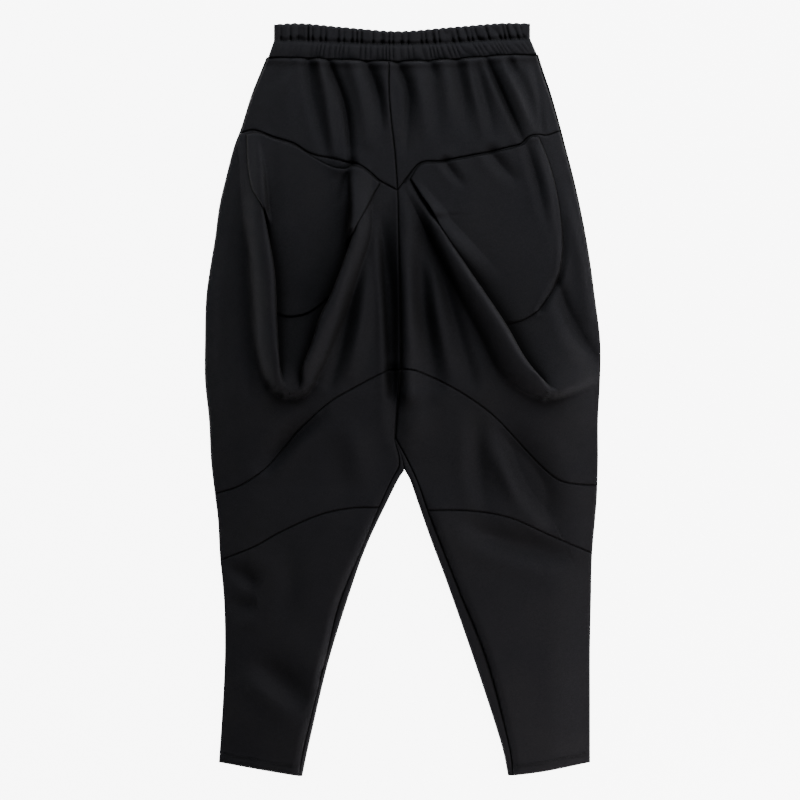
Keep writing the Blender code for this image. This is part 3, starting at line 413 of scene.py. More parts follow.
def foldStrip(lip, toward, tag, seams):
    # the columns of a fold edge on every row, and their heights above the panel
    run = unit(np.gradient(lip, axis=0))
    out = np.stack([run[:, 1], -run[:, 0]], axis=1)
    out *= np.where((out @ np.array(toward)) < 0, -1, 1)[:, None]
    for _ in range(cowl["turnRounds"]):
        out[1:-1] = (out[:-2] + out[1:-1] + out[2:]) / 3
    out = unit(out)
    length = runLength(lip)
    step, last = cowl["seamStep"], detail["seam"]
    for seam, gap, end in zip(seams, (length, length[-1] - length), (0, -1)):
        line = smoothLine(seam, last)
        at = float(nearest(lip[end][0], lip[end][1], line)[1])
        tangent = unit(along(line, [min(at + step, last)])[0] - along(line, [max(at - step, 0)])[0])
        tangent *= np.sign(tangent @ np.array(toward))
        near = 1 - ease(gap / cowl["seamReach"])[:, None]
        out = unit(out * (1 - near) + tangent * near)
    drops = np.maximum(rimTop(*lip.T, tag) - hollowFloor(*lip.T, tag), 0)
    sections = np.array([foldSection(drop) for drop in drops])
    rows = lip[:, None] + sections[..., :1] * out[:, None]
    tops = rimTop(*np.moveaxis(rows, -1, 0), tag)
    floors = np.minimum(hollowFloor(*np.moveaxis(rows, -1, 0), tag), tops)
    return rows, floors + (tops - floors) * sections[..., 1]


def fill(first, last, start, end):
    # a grid between four edges: first and last rows, start and end columns
    rows, columns = len(start), len(first)
    start, end = start.copy(), end.copy()
    start[0], start[-1], end[0], end[-1] = first[0], last[0], first[-1], last[-1]
    v = np.linspace(0, 1, rows)[:, None, None]
    u = np.linspace(0, 1, columns)[None, :, None]
    across = (1 - v) * first[None] + v * last[None]
    down = (1 - u) * start[:, None] + u * end[:, None]
    grid = across + down - ((1 - v) * ((1 - u) * first[0] + u * first[-1])
                            + v * ((1 - u) * last[0] + u * last[-1]))
    for _ in range(detail["evenRounds"]):
        around = grid[:-2, 1:-1] + grid[2:, 1:-1] + grid[1:-1, :-2] + grid[1:-1, 2:]
        grid[1:-1, 1:-1] = around / 4
    return grid


allEdges = ("first", "last", "start", "end")
edgeSlices = {"first": (np.s_[0], np.s_[1]), "last": (np.s_[-1], np.s_[-2]),
              "start": (np.s_[:, 0], np.s_[:, 1]), "end": (np.s_[:, -1], np.s_[:, -2])}


def trimmed(grid, edges):
    # a share of the seam's gap taken off the edges that meet other pieces
    grid = grid.copy()
    for edge in edges:
        outer, inner = edgeSlices[edge]
        run = grid[inner] - grid[outer]
        length = np.maximum(np.linalg.norm(run[..., :2], axis=-1, keepdims=True), 1e-6)
        grid[outer] = grid[outer] + run / length * seamGap * cloth["seamShare"]
    return grid


def edgeDistance(grid, edge):
    # how far each point is from one edge, along the grid
    lines = grid if edge in ("first", "last") else np.swapaxes(grid, 0, 1)
    if edge in ("last", "end"):
        lines = lines[::-1]
    step = np.linalg.norm(np.diff(lines, axis=0), axis=-1)
    gap = np.vstack([np.zeros((1, step.shape[1])), np.cumsum(step, axis=0)])
    if edge in ("last", "end"):
        gap = gap[::-1]
    return gap if edge in ("first", "last") else gap.T


def sewnDown(grid, edges):
    # how far the cloth sinks beside its sewn edges
    total = np.zeros(grid.shape[:2])
    for edge in edges:
        gap = edgeDistance(grid, edge)
        total = np.maximum(total, cloth["seamDepth"] * np.exp(-(gap / cloth["seamWidth"]) ** 2))
    return total


def newMaterial(name):
    made = bpy.data.materials.new(name)
    made.use_nodes = True
    return made, made.node_tree.nodes, made.node_tree.links


def setSockets(node, values):
    for socket, value in values.items():
        node.inputs[socket].default_value = value


def addNode(nodes, kind, values={}, **settings):
    node = nodes.new("ShaderNode" + kind)
    for key, value in settings.items():
        setattr(node, key, value)
    setSockets(node, values)
    return node


def knitMaterial(name, look):
    made, nodes, links = newMaterial(name)
    shader = nodes["Principled BSDF"]
    setSockets(shader, {"Metallic": 0.0, "IOR": look["ior"], "Specular IOR Level": look["specular"],
                        "Sheen Weight": look["sheen"], "Sheen Roughness": look["sheenRoughness"],
                        "Sheen Tint": (*look["sheenTint"], 1)})
    place = addNode(nodes, "TexCoord")
    blotch = addNode(nodes, "TexNoise", {"Scale": look["blotchScale"], "Detail": 4})
    grain = addNode(nodes, "TexNoise", {"Scale": look["grainScale"], "Detail": 2})
    for texture in (blotch, grain):
        links.new(place.outputs["Object"], texture.inputs["Vector"])
    tones = addNode(nodes, "Mix", {"A": (*look["dark"], 1), "B": (*look["light"], 1)},
                    data_type="RGBA")
    links.new(blotch.outputs["Fac"], tones.inputs["Factor"])
    speckle = addNode(nodes, "Mix", {"Factor": look["speckle"]}, data_type="RGBA",
                      blend_type="MULTIPLY")
    links.new(tones.outputs["Result"], speckle.inputs["A"])
    links.new(grain.outputs["Fac"], speckle.inputs["B"])
    # painted shade: an ambient occlusion node darkens the pile's colour down in the folds and
    # lightens it where the cloth lies open
    foldOcclusion = addNode(nodes, "AmbientOcclusion", {"Distance": look["shadeReach"]}, samples=8)
    ranges = ("From Min", "From Max", "To Min", "To Max")
    paintedShade = addNode(nodes, "MapRange", dict(zip(ranges, look["paintedShade"])))
    links.new(foldOcclusion.outputs["AO"], paintedShade.inputs["Value"])
    paintedPile = addNode(nodes, "Mix", {"Factor": 1}, data_type="RGBA", blend_type="MULTIPLY")
    links.new(speckle.outputs["Result"], paintedPile.inputs["A"])
    links.new(paintedShade.outputs["Result"], paintedPile.inputs["B"])
    links.new(paintedPile.outputs["Result"], shader.inputs["Base Color"])
    rough = addNode(nodes, "MapRange", dict(zip(ranges[2:], look["roughness"])))
    links.new(blotch.outputs["Fac"], rough.inputs["Value"])
    links.new(rough.outputs["Result"], shader.inputs["Roughness"])
    uv = addNode(nodes, "UVMap", uv_map="cloth")
    knit = addNode(nodes, "Math", operation="MULTIPLY")
    for socket, (bands, period) in enumerate((("X", look["wale"]), ("Y", look["course"]))):
        # a wave's period on the map is pi / 10 over its scale
        wave = addNode(nodes, "TexWave", {"Scale": np.pi / 10 / (period * mm), "Distortion": 0.8,
                                          "Detail": 1}, bands_direction=bands)
        links.new(uv.outputs["UV"], wave.inputs["Vector"])
        links.new(wave.outputs["Fac"], knit.inputs[socket])
    bump = addNode(nodes, "Bump", {"Strength": look["knitBump"], "Distance": look["knitDepth"]})
    fuzz = addNode(nodes, "Bump", {"Strength": look["fuzzBump"], "Distance": look["fuzzDepth"]})
    links.new(knit.outputs["Value"], bump.inputs["Height"])
    links.new(grain.outputs["Fac"], fuzz.inputs["Height"])
    links.new(bump.outputs["Normal"], fuzz.inputs["Normal"])
    links.new(fuzz.outputs["Normal"], shader.inputs["Normal"])
    return made


knitLook = {
    "dark": (0.0315, 0.0315, 0.038),
    "light": (0.047, 0.0455, 0.049),
    "blotchScale": 14,    # clouds between the dark and the light tone
    "grainScale": 900,    # speckle and fuzz of the pile
    "speckle": 0.5,
    # painted shade and highlight: the occlusion's reach, and how occlusion from 0.8 to 1 scales the
    # colour from 0.12 to 1.15 times
    "shadeReach": 0.08,    # metres over which a fold shades its pile
    "paintedShade": (0.8, 1.0, 0.12, 1.15),
    "roughness": (0.72, 0.86),
    "ior": 1.4,
    "specular": 0.12,
    "sheen": 0.04,
    "sheenRoughness": 0.45,
    "sheenTint": (1.0, 0.96, 0.92),
    "wale": 1.1,          # distance between the knit's columns of stitches, and its rows
    "course": 0.8,
    "knitBump": 0.5,
    "knitDepth": 0.0002,
    "fuzzBump": 0.3,
    "fuzzDepth": 0.0003,
}
blackKnit = knitMaterial("black knit", knitLook)
print("materials made")


def newObject(name, bm, material):
    mesh = bpy.data.meshes.new(name)
    bm.to_mesh(mesh)
    bm.free()
    mesh.shade_smooth()
    mesh.materials.append(material)
    made = bpy.data.objects.new(name, mesh)
    bpy.context.collection.objects.link(made)
    return made


def clothPiece(node, points, facing, thickness=cloth["thickness"], ring=False,
               leftOut=None):
    # a thin shell of cloth from a grid of points, facing up (1) or down (-1) at its first face
    rows, columns = points.shape[:2]
    bm = bmesh.new()
    bmesh.ops.create_grid(bm, x_segments=columns - 1, y_segments=rows - 1, size=0.5)
    uvLayer = bm.loops.layers.uv.new("cloth")
    flat = points.reshape(-1, 3)
    down = np.vstack([np.zeros((1, columns)),
                      np.cumsum(np.linalg.norm(np.diff(points, axis=0), axis=-1), axis=0)])
    across = np.hstack([np.zeros((rows, 1)),
                        np.cumsum(np.linalg.norm(np.diff(points, axis=1), axis=-1), axis=1)])
    across = across - across[:, [columns // 2]]
    uvs = np.stack([across, down], axis=-1).reshape(-1, 2) * mm
    bm.verts.ensure_lookup_table()
    for vert, place in zip(bm.verts, flat):
        vert.co = ((place[0] + centring[0]) * mm, (place[1] + centring[1]) * mm, place[2] * mm)
    bm.faces.ensure_lookup_table()
    for face in bm.faces:
        for loop in face.loops:
            loop[uvLayer].uv = uvs[loop.vert.index]
    if leftOut is not None:
        gone = [face for face in bm.faces if leftOut(*divmod(face.index, columns - 1))]
        bmesh.ops.delete(bm, geom=gone, context="FACES")
    if ring:
        bmesh.ops.remove_doubles(bm, verts=bm.verts, dist=1e-6)
    bmesh.ops.recalc_face_normals(bm, faces=bm.faces)
    bm.faces.ensure_lookup_table()
    bm.normal_update()
    if bm.faces[0].normal.z * facing < 0:
        bmesh.ops.reverse_faces(bm, faces=bm.faces)
    piece = newObject(node + "_cloth", bm, blackKnit)
    shell = piece.modifiers.new("shell", "SOLIDIFY")
    shell.thickness = thickness * mm
    shell.offset = -1
    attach(piece, "root")
    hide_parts(node)
    return piece


def frontCloth(name, plan, trims, sewn, lift):
    # a front panel from its grid in plan: the edges to trim and to sew, and its height above the
    # panel's own
    grid = trimmed(plan, trims)
    x, y = grid[..., 0], grid[..., 1]
    z = panelHeight(x, y) + lift(x, y) - sewnDown(grid, sewn)
    return clothPiece(name, np.dstack([grid, z]), 1)


thread = {
    "length": 2.5,
    "width": 0.6,
    "pitch": 3.3,
    "proud": 0.12,        # how far the middle of a stitch is above the cloth
    "span": 0.4,          # how far from its middle, in lengths, a stitch takes its direction
    "plies": 900,
}


def threadMaterial():
    made, nodes, links = newMaterial("black thread")
    shader = nodes["Principled BSDF"]
    setSockets(shader, {"Roughness": 0.5, "IOR": 1.5})
    place = addNode(nodes, "TexCoord")
    plies = addNode(nodes, "TexWave", {"Scale": thread["plies"], "Distortion": 2},
                    bands_direction="DIAGONAL")
    links.new(place.outputs["Object"], plies.inputs["Vector"])
    tones = addNode(nodes, "Mix", {"A": (0.004, 0.004, 0.005, 1), "B": (0.014, 0.014, 0.016, 1)},
                    data_type="RGBA")
    links.new(plies.outputs["Fac"], tones.inputs["Factor"])
    links.new(tones.outputs["Result"], shader.inputs["Base Color"])
    bump = addNode(nodes, "Bump", {"Strength": 0.4, "Distance": 0.0001})
    links.new(plies.outputs["Fac"], bump.inputs["Height"])
    links.new(bump.outputs["Normal"], shader.inputs["Normal"])
    return made


blackThread = threadMaterial()


def makeStitches(name, lines):
    # small threads one after another along each line of points on the cloth
    bm = bmesh.new()
    thick, long = thread["width"] / 2 * mm, thread["length"] / 2 * mm
    span = thread["span"] * thread["length"] * mm
    for line in lines:
        line = (np.array(line) + (*centring, thread["proud"])) * mm
        run = runLength(line)
        for at in np.arange(thread["pitch"], run[-1] / mm - thread["pitch"], thread["pitch"]) * mm:
            a, b = (Vector([np.interp(place, run, line[:, i]) for i in range(3)])
                    for place in (at - span, at + span))
            turned = (b - a).to_track_quat("Z", "X").to_matrix().to_4x4()
            shape = Matrix.Diagonal((thick, thick, long, 1))
            shape = Matrix.Translation((a + b) / 2) @ turned @ shape
            bmesh.ops.create_uvsphere(bm, u_segments=6, v_segments=4, radius=1, matrix=shape)
    piece = newObject(name, bm, blackThread)
    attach(piece, "root")
    return piece


waistband = {
    "columns": 408,         # points across: 12 for each of the upper ribs
    "rows": (14, 14),       # points down the upper and lower channel
    "stitchDepth": 1.4,     # depth of the stitched line between the channels, and its width
    "stitchWidth": 0.13,
    "fade": 40,             # the gathers fade in over 1 / fade of the front at each end
    "leanFrom": 0.45,       # where across the front the ribs start to lean, and over what width
    "leanRun": 0.4,
    "upper": {
        "ribs": 34,
        "lean": 0.9,        # how far the ribs lean at the right end, in ribs
        "height": 1.6,
        "round": 0.75,      # under 1, a rib is full and its valleys are narrow
        "level": 0.72,
        "sway": ((0.3, 41, 0), (0.2, 97, 0)),     # uneven spacing: size, rate and start of waves
        "uneven": ((0.25, 63, 0), (0.2, 151, 1)),
        "deep": 0.8,
        "middle": 0.25,     # how much higher the ribs are halfway down
        "pinch": 1.8,       # depth of the pinch at a valley's foot, its place and its width
        "pinchAt": 0.86,
        "pinchWidth": 0.12,
        "rimWidth": 0.07,   # width over which the top edge turns down
    },
    "lower": {
        "ribs": 46,
        "lean": 1.08,
        "height": 1.1,
        "round": 0.8,
        "level": 0.7,
        "sway": ((0.5, 29, 0), (0.3, 71, 0)),
        "busyAt": (0, 0.1, 0.2, 0.45, 0.72, 0.85, 1),    # how strong the ribs are across
        "busy": (0.2, 0.35, 0.9, 1, 0.9, 0.55, 0.4),
        "swell": 0.7,       # how far the channel swells halfway down
        "foot": 0.2,        # depth of the seam at its foot, and its width
        "footWidth": 0.1,
    },
    "edgeWave": 1.3,        # how far the top edge goes up and down with the ribs
    "turnPoints": 8,        # points round each end of the band
    "backZ": 0.35,
    "backWave": 0.9,        # how far the back's gathers rise and fall, as a share of backZ
    "thickness": 1.3,
}


def swayed(value, u, waves):
    # a value made uneven along the band
    for size, rate, start in waves:
        value = value + size * np.sin(u * rate + start)
    return value


def bandRelief(u, t, channel):
    # height of the gathers: u across the front from 0 to 1, t down the channel from 0 to 1
    form = waistband[channel]
    lean = form["lean"] * ease((u - waistband["leanFrom"]) / waistband["leanRun"])
    rib = np.abs(np.sin(np.pi * swayed(form["ribs"] * u - lean * t, u, form["sway"])))
    ribs = form["height"] * (rib ** form["round"] - form["level"])
    if channel == "upper":
        middle = 1 - form["middle"] + form["middle"] * np.sin(np.pi * t)
        pinched = (1 - rib) ** 2 * np.exp(-((form["pinchAt"] - t) / form["pinchWidth"]) ** 2)
        relief = ribs * swayed(form["deep"], u, form["uneven"]) * middle
        relief = relief - form["pinch"] * pinched - np.exp(-(t / form["rimWidth"]) ** 2)
        toStitches = 1 - t
    else:
        busy = np.interp(u, form["busyAt"], form["busy"])
        relief = ribs * busy * np.sin(np.pi * (0.1 + 0.8 * t)) + form["swell"] * np.sin(np.pi * t)
        relief = relief - form["foot"] * np.exp(-((1 - t) / form["footWidth"]) ** 2)
        toStitches = t
    return relief - waistband["stitchDepth"] * np.exp(-(toStitches / waistband["stitchWidth"]) ** 2)


def makeWaistband():
    across, upper = waistband["columns"], waistband["upper"]
    lines = [smoothLine(points, across) for points in (bandTop, bandMid, bandFoot)]
    turn = cloth["bandZ"] / 2
    angles = np.linspace(0, np.pi, waistband["turnPoints"] + 2)[1:-1]
    u = np.linspace(0, 1, across + 1)
    fade = np.clip(np.minimum(u, 1 - u) * waistband["fade"], 0, 1)
    edgeWave = waistband["edgeWave"] * (np.abs(np.sin(np.pi * upper["ribs"] * u)) - 0.5)
    backWave = waistband["backWave"] * np.sin(2 * np.pi * upper["ribs"] * u)
    rows = []
    for channel, (name, count) in enumerate(zip(("upper", "lower"), waistband["rows"])):
        for t in np.linspace(0, 1, count + 1)[channel:]:
            line = lines[channel] * (1 - t) + lines[channel + 1] * t
            line[:, 0] *= bandTaper
            front = np.column_stack([line, cloth["bandZ"] + fade * bandRelief(u, t, name)])
            if name == "upper":
                front[:, 1] += edgeWave * (1 - t) ** 3
            left, right = ([(line[end, 0] + way * turn * np.sin(a), line[end, 1],
                             turn * (1 + np.cos(a))) for a in angles]
                           for end, way in ((0, -1), (-1, 1)))
            back = np.column_stack([line, waistband["backZ"] * (1 + fade * backWave)])[::-2]
            rows.append(np.vstack([front, right, back, left[::-1], front[:1]]))
    points = np.array(rows)
    piece = clothPiece("waistband", points, 1, waistband["thickness"], ring=True)
    sewn = points[waistband["rows"][0], 2:across - 1]
    stitches = makeStitches("waistband_stitches", [sewn])


makeWaistband()
print("waistband made")

rowCounts = {"yoke": 60, "drape": (44, 118, 52), "thighTop": 34, "thigh": 52, "shin": 140,
             "pocket": 120}
columnCounts = {"yoke": 110, "leg": 120, "pocket": 90}
# Each half's seams and its cowl's lips: three stretches from seam to seam, the way towards the
# hollow, and whether the hollow comes after the lip, going from the centre to the side. A pocket
# has its mouth, its side, its foot and the edge under a lip.
halves = {
    "left": {
        "yokeSeam": [(-5.9, 271.1), (-29.2, 283.5), (-41.6, 294.8), (-55.4, 304.3), (-67.6, 307.1),
                     (-88.4, 312.3), (-118.3, 318.4), (-140.4, 332.2), (-165.1, 339.9),
                     (-185.9, 348.3), (-196.3, 349.7), (-209.0, 346.0)],
        "thighSeam": [(-2.6, 38.4), (-22.1, 35.8), (-67.6, 12.3), (-97.5, -5.9), (-132.6, -38.4),
                      (-152.1, -61.8), (-178.1, -90.4), (-197.6, -104.7), (-217.1, -115.0),
                      (-243.3, -122.9)],
        "kneeSeam": [(-29.1, -139.8), (-67.6, -141.1), (-109.2, -150.2), (-158.6, -172.2),
                     (-191.1, -190.5), (-236.2, -208.7)],
        "hem": [(-133.8, -488.7), (-184.6, -480.4), (-237.9, -471.2)],
        "inseam": inseamLeft,
        "leg": [gapTip, (-5.2, -104.7), (-18.2, -130.7), (-42.9, -182.7), (-62.4, -234.7),
                (-94.9, -338.7), (-119.6, -442.7), (-129.5, -489.4)],
        "sideEnd": 0,    # the end of the waistband that it meets
        "inward": 1,     # which way along x its centre is
        # y where a drape panel's rows change their spacing, at the centre and at the side
        "centreLevels": (271.1, 246, 75, 38.4),
        "sideLevels": (346.0, 262, -10, -122.9),
        "lips": [
            ([[(-64.0, 306.0), (-62.5, 270.0), (-62.0, 238.0)],
              [(-62.0, 238.0), (-65.5, 211.0), (-77.5, 174.0), (-92.3, 136.0), (-106.6, 106.5),
               (-117.8, 71.0), (-126.0, 50.0), (-130.3, 34.0), (-131.3, 22.0), (-134.0, 12.0)],
              [(-134.0, 12.0), (-135.0, 0.0), (-133.5, -38.0)]], (-1, 0), True),
            ([[(-193.0, 349.6), (-184.0, 300.0), (-179.0, 244.0)],
              [(-179.0, 244.0), (-170.5, 202.0), (-164.0, 160.0), (-161.3, 103.0), (-159.2, 62.0),
               (-157.0, 40.0), (-153.5, 24.0), (-149.0, 12.0)],
              [(-149.0, 12.0), (-148.5, 2.0), (-156.0, -30.0), (-174.0, -86.5)]], (1, 0), False)],
        "columns": (44, 40, 34),    # points across between the centre, the lips and the side
        "gape": (-76.0, 20.0, 2.6),    # where the pocket's mouth sags open: x, reach, height
        # beside each lip the pocket climbs from the floor: the climb's width, the y where it
        # starts, the length it takes, and the y where the pocket's seam with the lip ends
        "climbs": [(8.0, 200.0, 14.0, 222.0), (8.0, 226.0, 18.0, 252.0)],
        "pocket": [
            [(-201.8, 344.5), (-185.9, 346.0), (-165.1, 338.0), (-140.4, 330.2), (-118.3, 316.6),
             (-106.6, 309.4), (-88.4, 300.8), (-74.0, 299.0), (-62.0, 302.5), (-48.0, 297.5),
             (-28.0, 280.5)],
            [(-201.8, 344.5), (-200.2, 306.2), (-195.0, 276.3), (-188.5, 263.0), (-181.5, 252.0),
             (-176.5, 239.0), (-173.5, 222.0), (-171.5, 200.0), (-169.0, 155.0), (-166.0, 112.0)],
            [(-166.0, 112.0), (-145.6, 106.8), (-118.0, 113.6), (-86.5, 140.0)],
            [(-28.0, 280.5), (-36.0, 267.5), (-46.0, 248.0), (-53.6, 234.6), (-59.5, 224.0),
             (-65.5, 212.0), (-69.5, 199.0), (-74.5, 175.0), (-86.5, 140.0)]],
    },
    "right": {
        "yokeSeam": [(-5.9, 271.1), (8.7, 290.6), (24.4, 307.1), (50.7, 309.1), (81.9, 314.9),
                     (113.1, 321.0), (137.8, 326.9), (153.4, 330.9), (165.1, 341.2), (178.1, 343.9),
                     (187.2, 342.6), (205.4, 349.0)],
        "thighSeam": [(-2.6, 38.4), (13.0, 39.0), (29.9, 33.1), (68.9, 13.7), (101.4, -7.2),
                      (127.4, -29.2), (166.4, -72.2), (185.9, -91.7), (202.8, -104.7),
                      (224.9, -109.9), (253.9, -111.8)],
        "kneeSeam": [(32.5, -143.7), (88.4, -144.3), (140.4, -153.4), (192.4, -176.2),
                     (247.3, -199.6)],
        "hem": [(144.0, -487.9), (185.9, -482.5), (244.4, -471.2)],
        "inseam": inseamRight,
        "leg": [gapTip, (10.4, -104.7), (19.5, -130.7), (37.7, -182.7), (57.2, -234.7),
                (93.6, -338.7), (127.4, -442.7), (137.8, -489.0)],
        "sideEnd": -1,
        "inward": -1,
        "centreLevels": (271.1, 246, 70, 38.4),
        "sideLevels": (349.0, 280, 62, -111.8),
        "lips": [
            ([[(9.1, 284.1), (22.0, 264.0), (36.0, 244.0)],
              [(36.0, 244.0), (61.1, 206.1), (92.3, 160.6), (133.9, 98.8), (159.9, 53.2),
               (188.0, 20.0), (200.0, 12.0)],
              [(200.0, 12.0), (213.0, -30.0), (219.0, -70.0), (222.0, -109.4)]], (1, 0.6), True)],
        "columns": (60, 74),
        "climbs": [(62.0, 140.0, 110.0, 244.0)],
        "pocket": [
            [(10.5, 286.0), (24.5, 305.0), (50.7, 307.4), (113.1, 319.2), (153.4, 329.2),
             (165.1, 339.0), (177.0, 341.9)],
            [(177.0, 341.9), (191.5, 304.9), (201.5, 265.9), (207.0, 226.8), (208.0, 192.0),
             (199.0, 150.0), (175.0, 114.0)],
            [(121.0, 103.0), (136.0, 98.6), (156.0, 102.6), (175.0, 114.0)],
            [(10.5, 286.0), (24.0, 265.4), (38.0, 245.0), (55.0, 212.0), (83.0, 163.0),
             (121.0, 103.0)]],
    },
}


def makeDrapePanel(tag, half):
    # filled grids between the centre seam, the fold strips of the lips and the side
    centre = sideGuide(centreDrape, half["centreLevels"], rowCounts["drape"])
    edge = sideGuide(sideLines[tag], half["sideLevels"], rowCounts["drape"])
    guides = [(centre[:, None], None)]
    for lip, toward, toFloor in half["lips"]:
        seams = (half["yokeSeam"], half["thighSeam"])
        strip, heights = foldStrip(joinLines(lip, rowCounts["drape"]), toward, tag, seams)
        if not toFloor:
            strip, heights = strip[:, ::-1].copy(), heights[:, ::-1]
        strip[0], strip[-1] = onSeam(strip[0], seams[0]), onSeam(strip[-1], seams[1])
        guides.append((strip, heights))
    guides.append((edge[:, None], None))
    plan, levels, inside = [guides[0][0]], [False], False
    for (a, _), (b, heights), count in zip(guides, guides[1:], half["columns"]):
        start, end = a[:, -1], b[:, 0]
        first = seamStretch(half["yokeSeam"], start[0], end[0], count)
        last = seamStretch(half["thighSeam"], start[-1], end[-1], count)
        plan += [fill(first, last, start, end)[:, 1:-1], b]
        levels += [inside, inside if heights is None else heights]
        inside = inside if heights is None else not inside
    grid = trimmed(np.concatenate(plan, axis=1), ("first", "last", "start"))
    column, lifts = 0, []
    for part, level in zip(plan, levels):
        x, y = np.moveaxis(grid[:, column:column + part.shape[1]], -1, 0)
        if isinstance(level, bool):
            level = hollowFloor(x, y, tag) if level else rimTop(x, y, tag)
        lifts.append(level)
        column += part.shape[1]
    z = panelHeight(grid[..., 0], grid[..., 1]) + np.concatenate(lifts, axis=1)
    z -= sewnDown(grid, allEdges)
    piece = clothPiece("drape_panel_" + tag, np.dstack([grid, z]), 1)


pocketForm = {
    "sink": 3.2,          # how far it lies below the lip that hides its edge
    "lipCounts": (8, 24, 4),    # stretches of a lip's three parts
    "sinkRun": 10,        # height over which it sinks, below the end of its seam
    "farRun": 4,          # width over which it leaves the lip again on the far side
    "air": 0.4,           # gap between it and the cloth that it lies on
    "gapeRun": 9,         # how far down from its mouth it stands open
}


def pocketBase(x, y, tag, half):
    # the cloth a pocket lies on: the hollow's floor, and above the crossing the rolls beside it,
    # which hide the pocket's edge below the end of its seam
    form = pocketForm
    floor = hollowFloor(x, y, tag)
    base = floor
    for (lip, toward, _), (width, crossing, run, seamEnd) in zip(half["lips"], half["climbs"]):
        line = joinLines(lip, form["lipCounts"])
        course = line[-1] - line[0]
        hollow = np.sign(course[0] * toward[1] - course[1] * toward[0])
        gap, _, side = nearest(x, y, line)
        inward = hollow * np.sign(side) * gap
        below = ease((seamEnd - y) / form["sinkRun"])
        over = (ease(1 - inward / width) * (1 - below * ease(-inward / form["farRun"]))
                * ease((y - crossing) / run))
        top = np.maximum(rimTop(x, y, tag) - form["sink"] * below, floor)
        base = np.maximum(base, floor + (top - floor) * over)
    return base


def makePocket(tag, half):
    mouth, side, foot, under = half["pocket"]
    start, end = (side, under) if mouth[0] == side[0] else (under, side)
    first, last = (smoothLine(points, columnCounts["pocket"]) for points in (mouth, foot))
    grid = fill(first, last, smoothLine(start, rowCounts["pocket"]),
                smoothLine(end, rowCounts["pocket"]))
    x, y = grid[..., 0], grid[..., 1]
    base = np.dstack([grid, panelHeight(x, y) + pocketBase(x, y, tag, half)])
    normal = unit(np.cross(np.gradient(base, axis=1), np.gradient(base, axis=0)))
    normal *= np.sign(normal[..., 2:])
    points = base + normal * (pocketForm["air"] + cloth["thickness"])
    points[..., 2] -= sewnDown(grid, allEdges)
    if "gape" in half:
        centre, reach, size = half["gape"]
        slack = np.exp(-((x - centre) / reach) ** 2)
        down = edgeDistance(grid, "first") / pocketForm["gapeRun"]
        points[..., 2] += size * slack * np.exp(-down ** 2)
    piece = clothPiece("pocket_" + tag, points, 1)


yoke = {"puff": 1.5, "puffAt": 4, "puffWidth": 4.5}    # how far the gathers stand up, and where
hem = {
    "rows": (10.6, 13.4),   # distance of the two rows of stitches from the edge
    "dent": 0.5,
    "dentWidth": 1.3,
    "puff": 0.8,            # how much thicker the turned cloth makes it
    "foldRun": 3,
}


def yokeLift(x, y, tag):
    # the gathered cloth stands up just below the waistband
    below = np.interp(x, bandX, bandY) - y
    puff = yoke["puff"] * np.exp(-((below - yoke["puffAt"]) / yoke["puffWidth"]) ** 2)
    return rimTop(x, y, tag) + puff


def hemLift(x, y, tag, edge):
    # the turned hem is thicker, with a dent along each row of stitches
    gap = nearest(x, y, edge)[0]
    relief = hem["puff"] * (1 - ease((gap - hem["rows"][1]) / hem["foldRun"]))
    for row in hem["rows"]:
        relief = relief - hem["dent"] * np.exp(-((gap - row) / hem["dentWidth"]) ** 2)
    return rimTop(x, y, tag) + relief


def makeYoke(tag, half):
    bandLine = [(x * bandTaper, y - seamGap) for x, y in bandFoot]
    columns, rows = columnCounts["yoke"], rowCounts["yoke"]
    top = seamStretch(bandLine, centreYoke[0], bandLine[half["sideEnd"]], columns)
    reach = float(sideX(top[-1][1], sideLines[tag])) - top[0, 0]
    top[:, 0] = top[0, 0] + (top[:, 0] - top[0, 0]) * reach / (top[-1, 0] - top[0, 0])
    seam = seamStretch(half["yokeSeam"], half["yokeSeam"][0], half["yokeSeam"][-1], columns)
    side = stretchOf(sideLines[tag], top[-1][1], seam[-1][1], rows)
    plan = fill(top, seam, smoothLine(centreYoke, rows), side)
    piece = frontCloth("yoke_front_" + tag, plan, ("first", "last", "start"), allEdges,
                       lambda x, y: yokeLift(x, y, tag))


def makeThigh(tag, half):
    seam, knee = (smoothLine(half[name], columnCounts["leg"]) for name in ("thighSeam", "kneeSeam"))
    inseam = stretchOf(half["inseam"], crotch[1], knee[0][1], rowCounts["thigh"])
    start = np.vstack([smoothLine(centreThigh, rowCounts["thighTop"])[:-1], inseam])
    side = stretchOf(sideLines[tag], seam[-1][1], knee[-1][1], len(start) - 1)
    plan = fill(seam, knee, start, side)
    piece = frontCloth("thigh_panel_" + tag, plan, ("first", "last", "start"), allEdges,
                       lambda x, y: rimTop(x, y, tag))


def makeShin(tag, half):
    knee, edge = (smoothLine(half[name], columnCounts["leg"]) for name in ("kneeSeam", "hem"))
    rows = rowCounts["shin"]
    inseam = stretchOf(half["inseam"], knee[0][1], half["inseam"][-1][1], rows)
    side = stretchOf(sideLines[tag], knee[-1][1], outline[-1][0], rows)
    plan = fill(knee, edge, inseam, side)
    piece = frontCloth("shin_panel_" + tag, plan, ("first", "start"), allEdges,
                       lambda x, y: hemLift(x, y, tag, edge))
    lines = []
    for row in hem["rows"]:
        line = [column[np.argmin(np.abs(nearest(*column.T, edge)[0] - row))]
                for column in np.swapaxes(plan, 0, 1)[2:-2]]
        x, y = np.array(line).T
        y = y + (row - nearest(x, y, edge)[0])
        lines.append(np.column_stack([x, y, panelHeight(x, y) + hemLift(x, y, tag, edge)]))
    stitches = makeStitches("hem_stitches_" + tag, lines)


back = {
    "flatColumns": 60,
    "turnColumns": 8,
    "stripColumns": 3,
    "hipRows": 70,
    "gussetRows": 12,
    "legRows": 120,
    "leastTurn": 0.1,     # how far the cloth turns up at the gusset's tip, as a share, and the
    "turnRun": 12,        # height over which it comes to its full turn
    "overlap": 0.6,       # share of a seam's gap that the back takes
    "linePoints": 300,
}


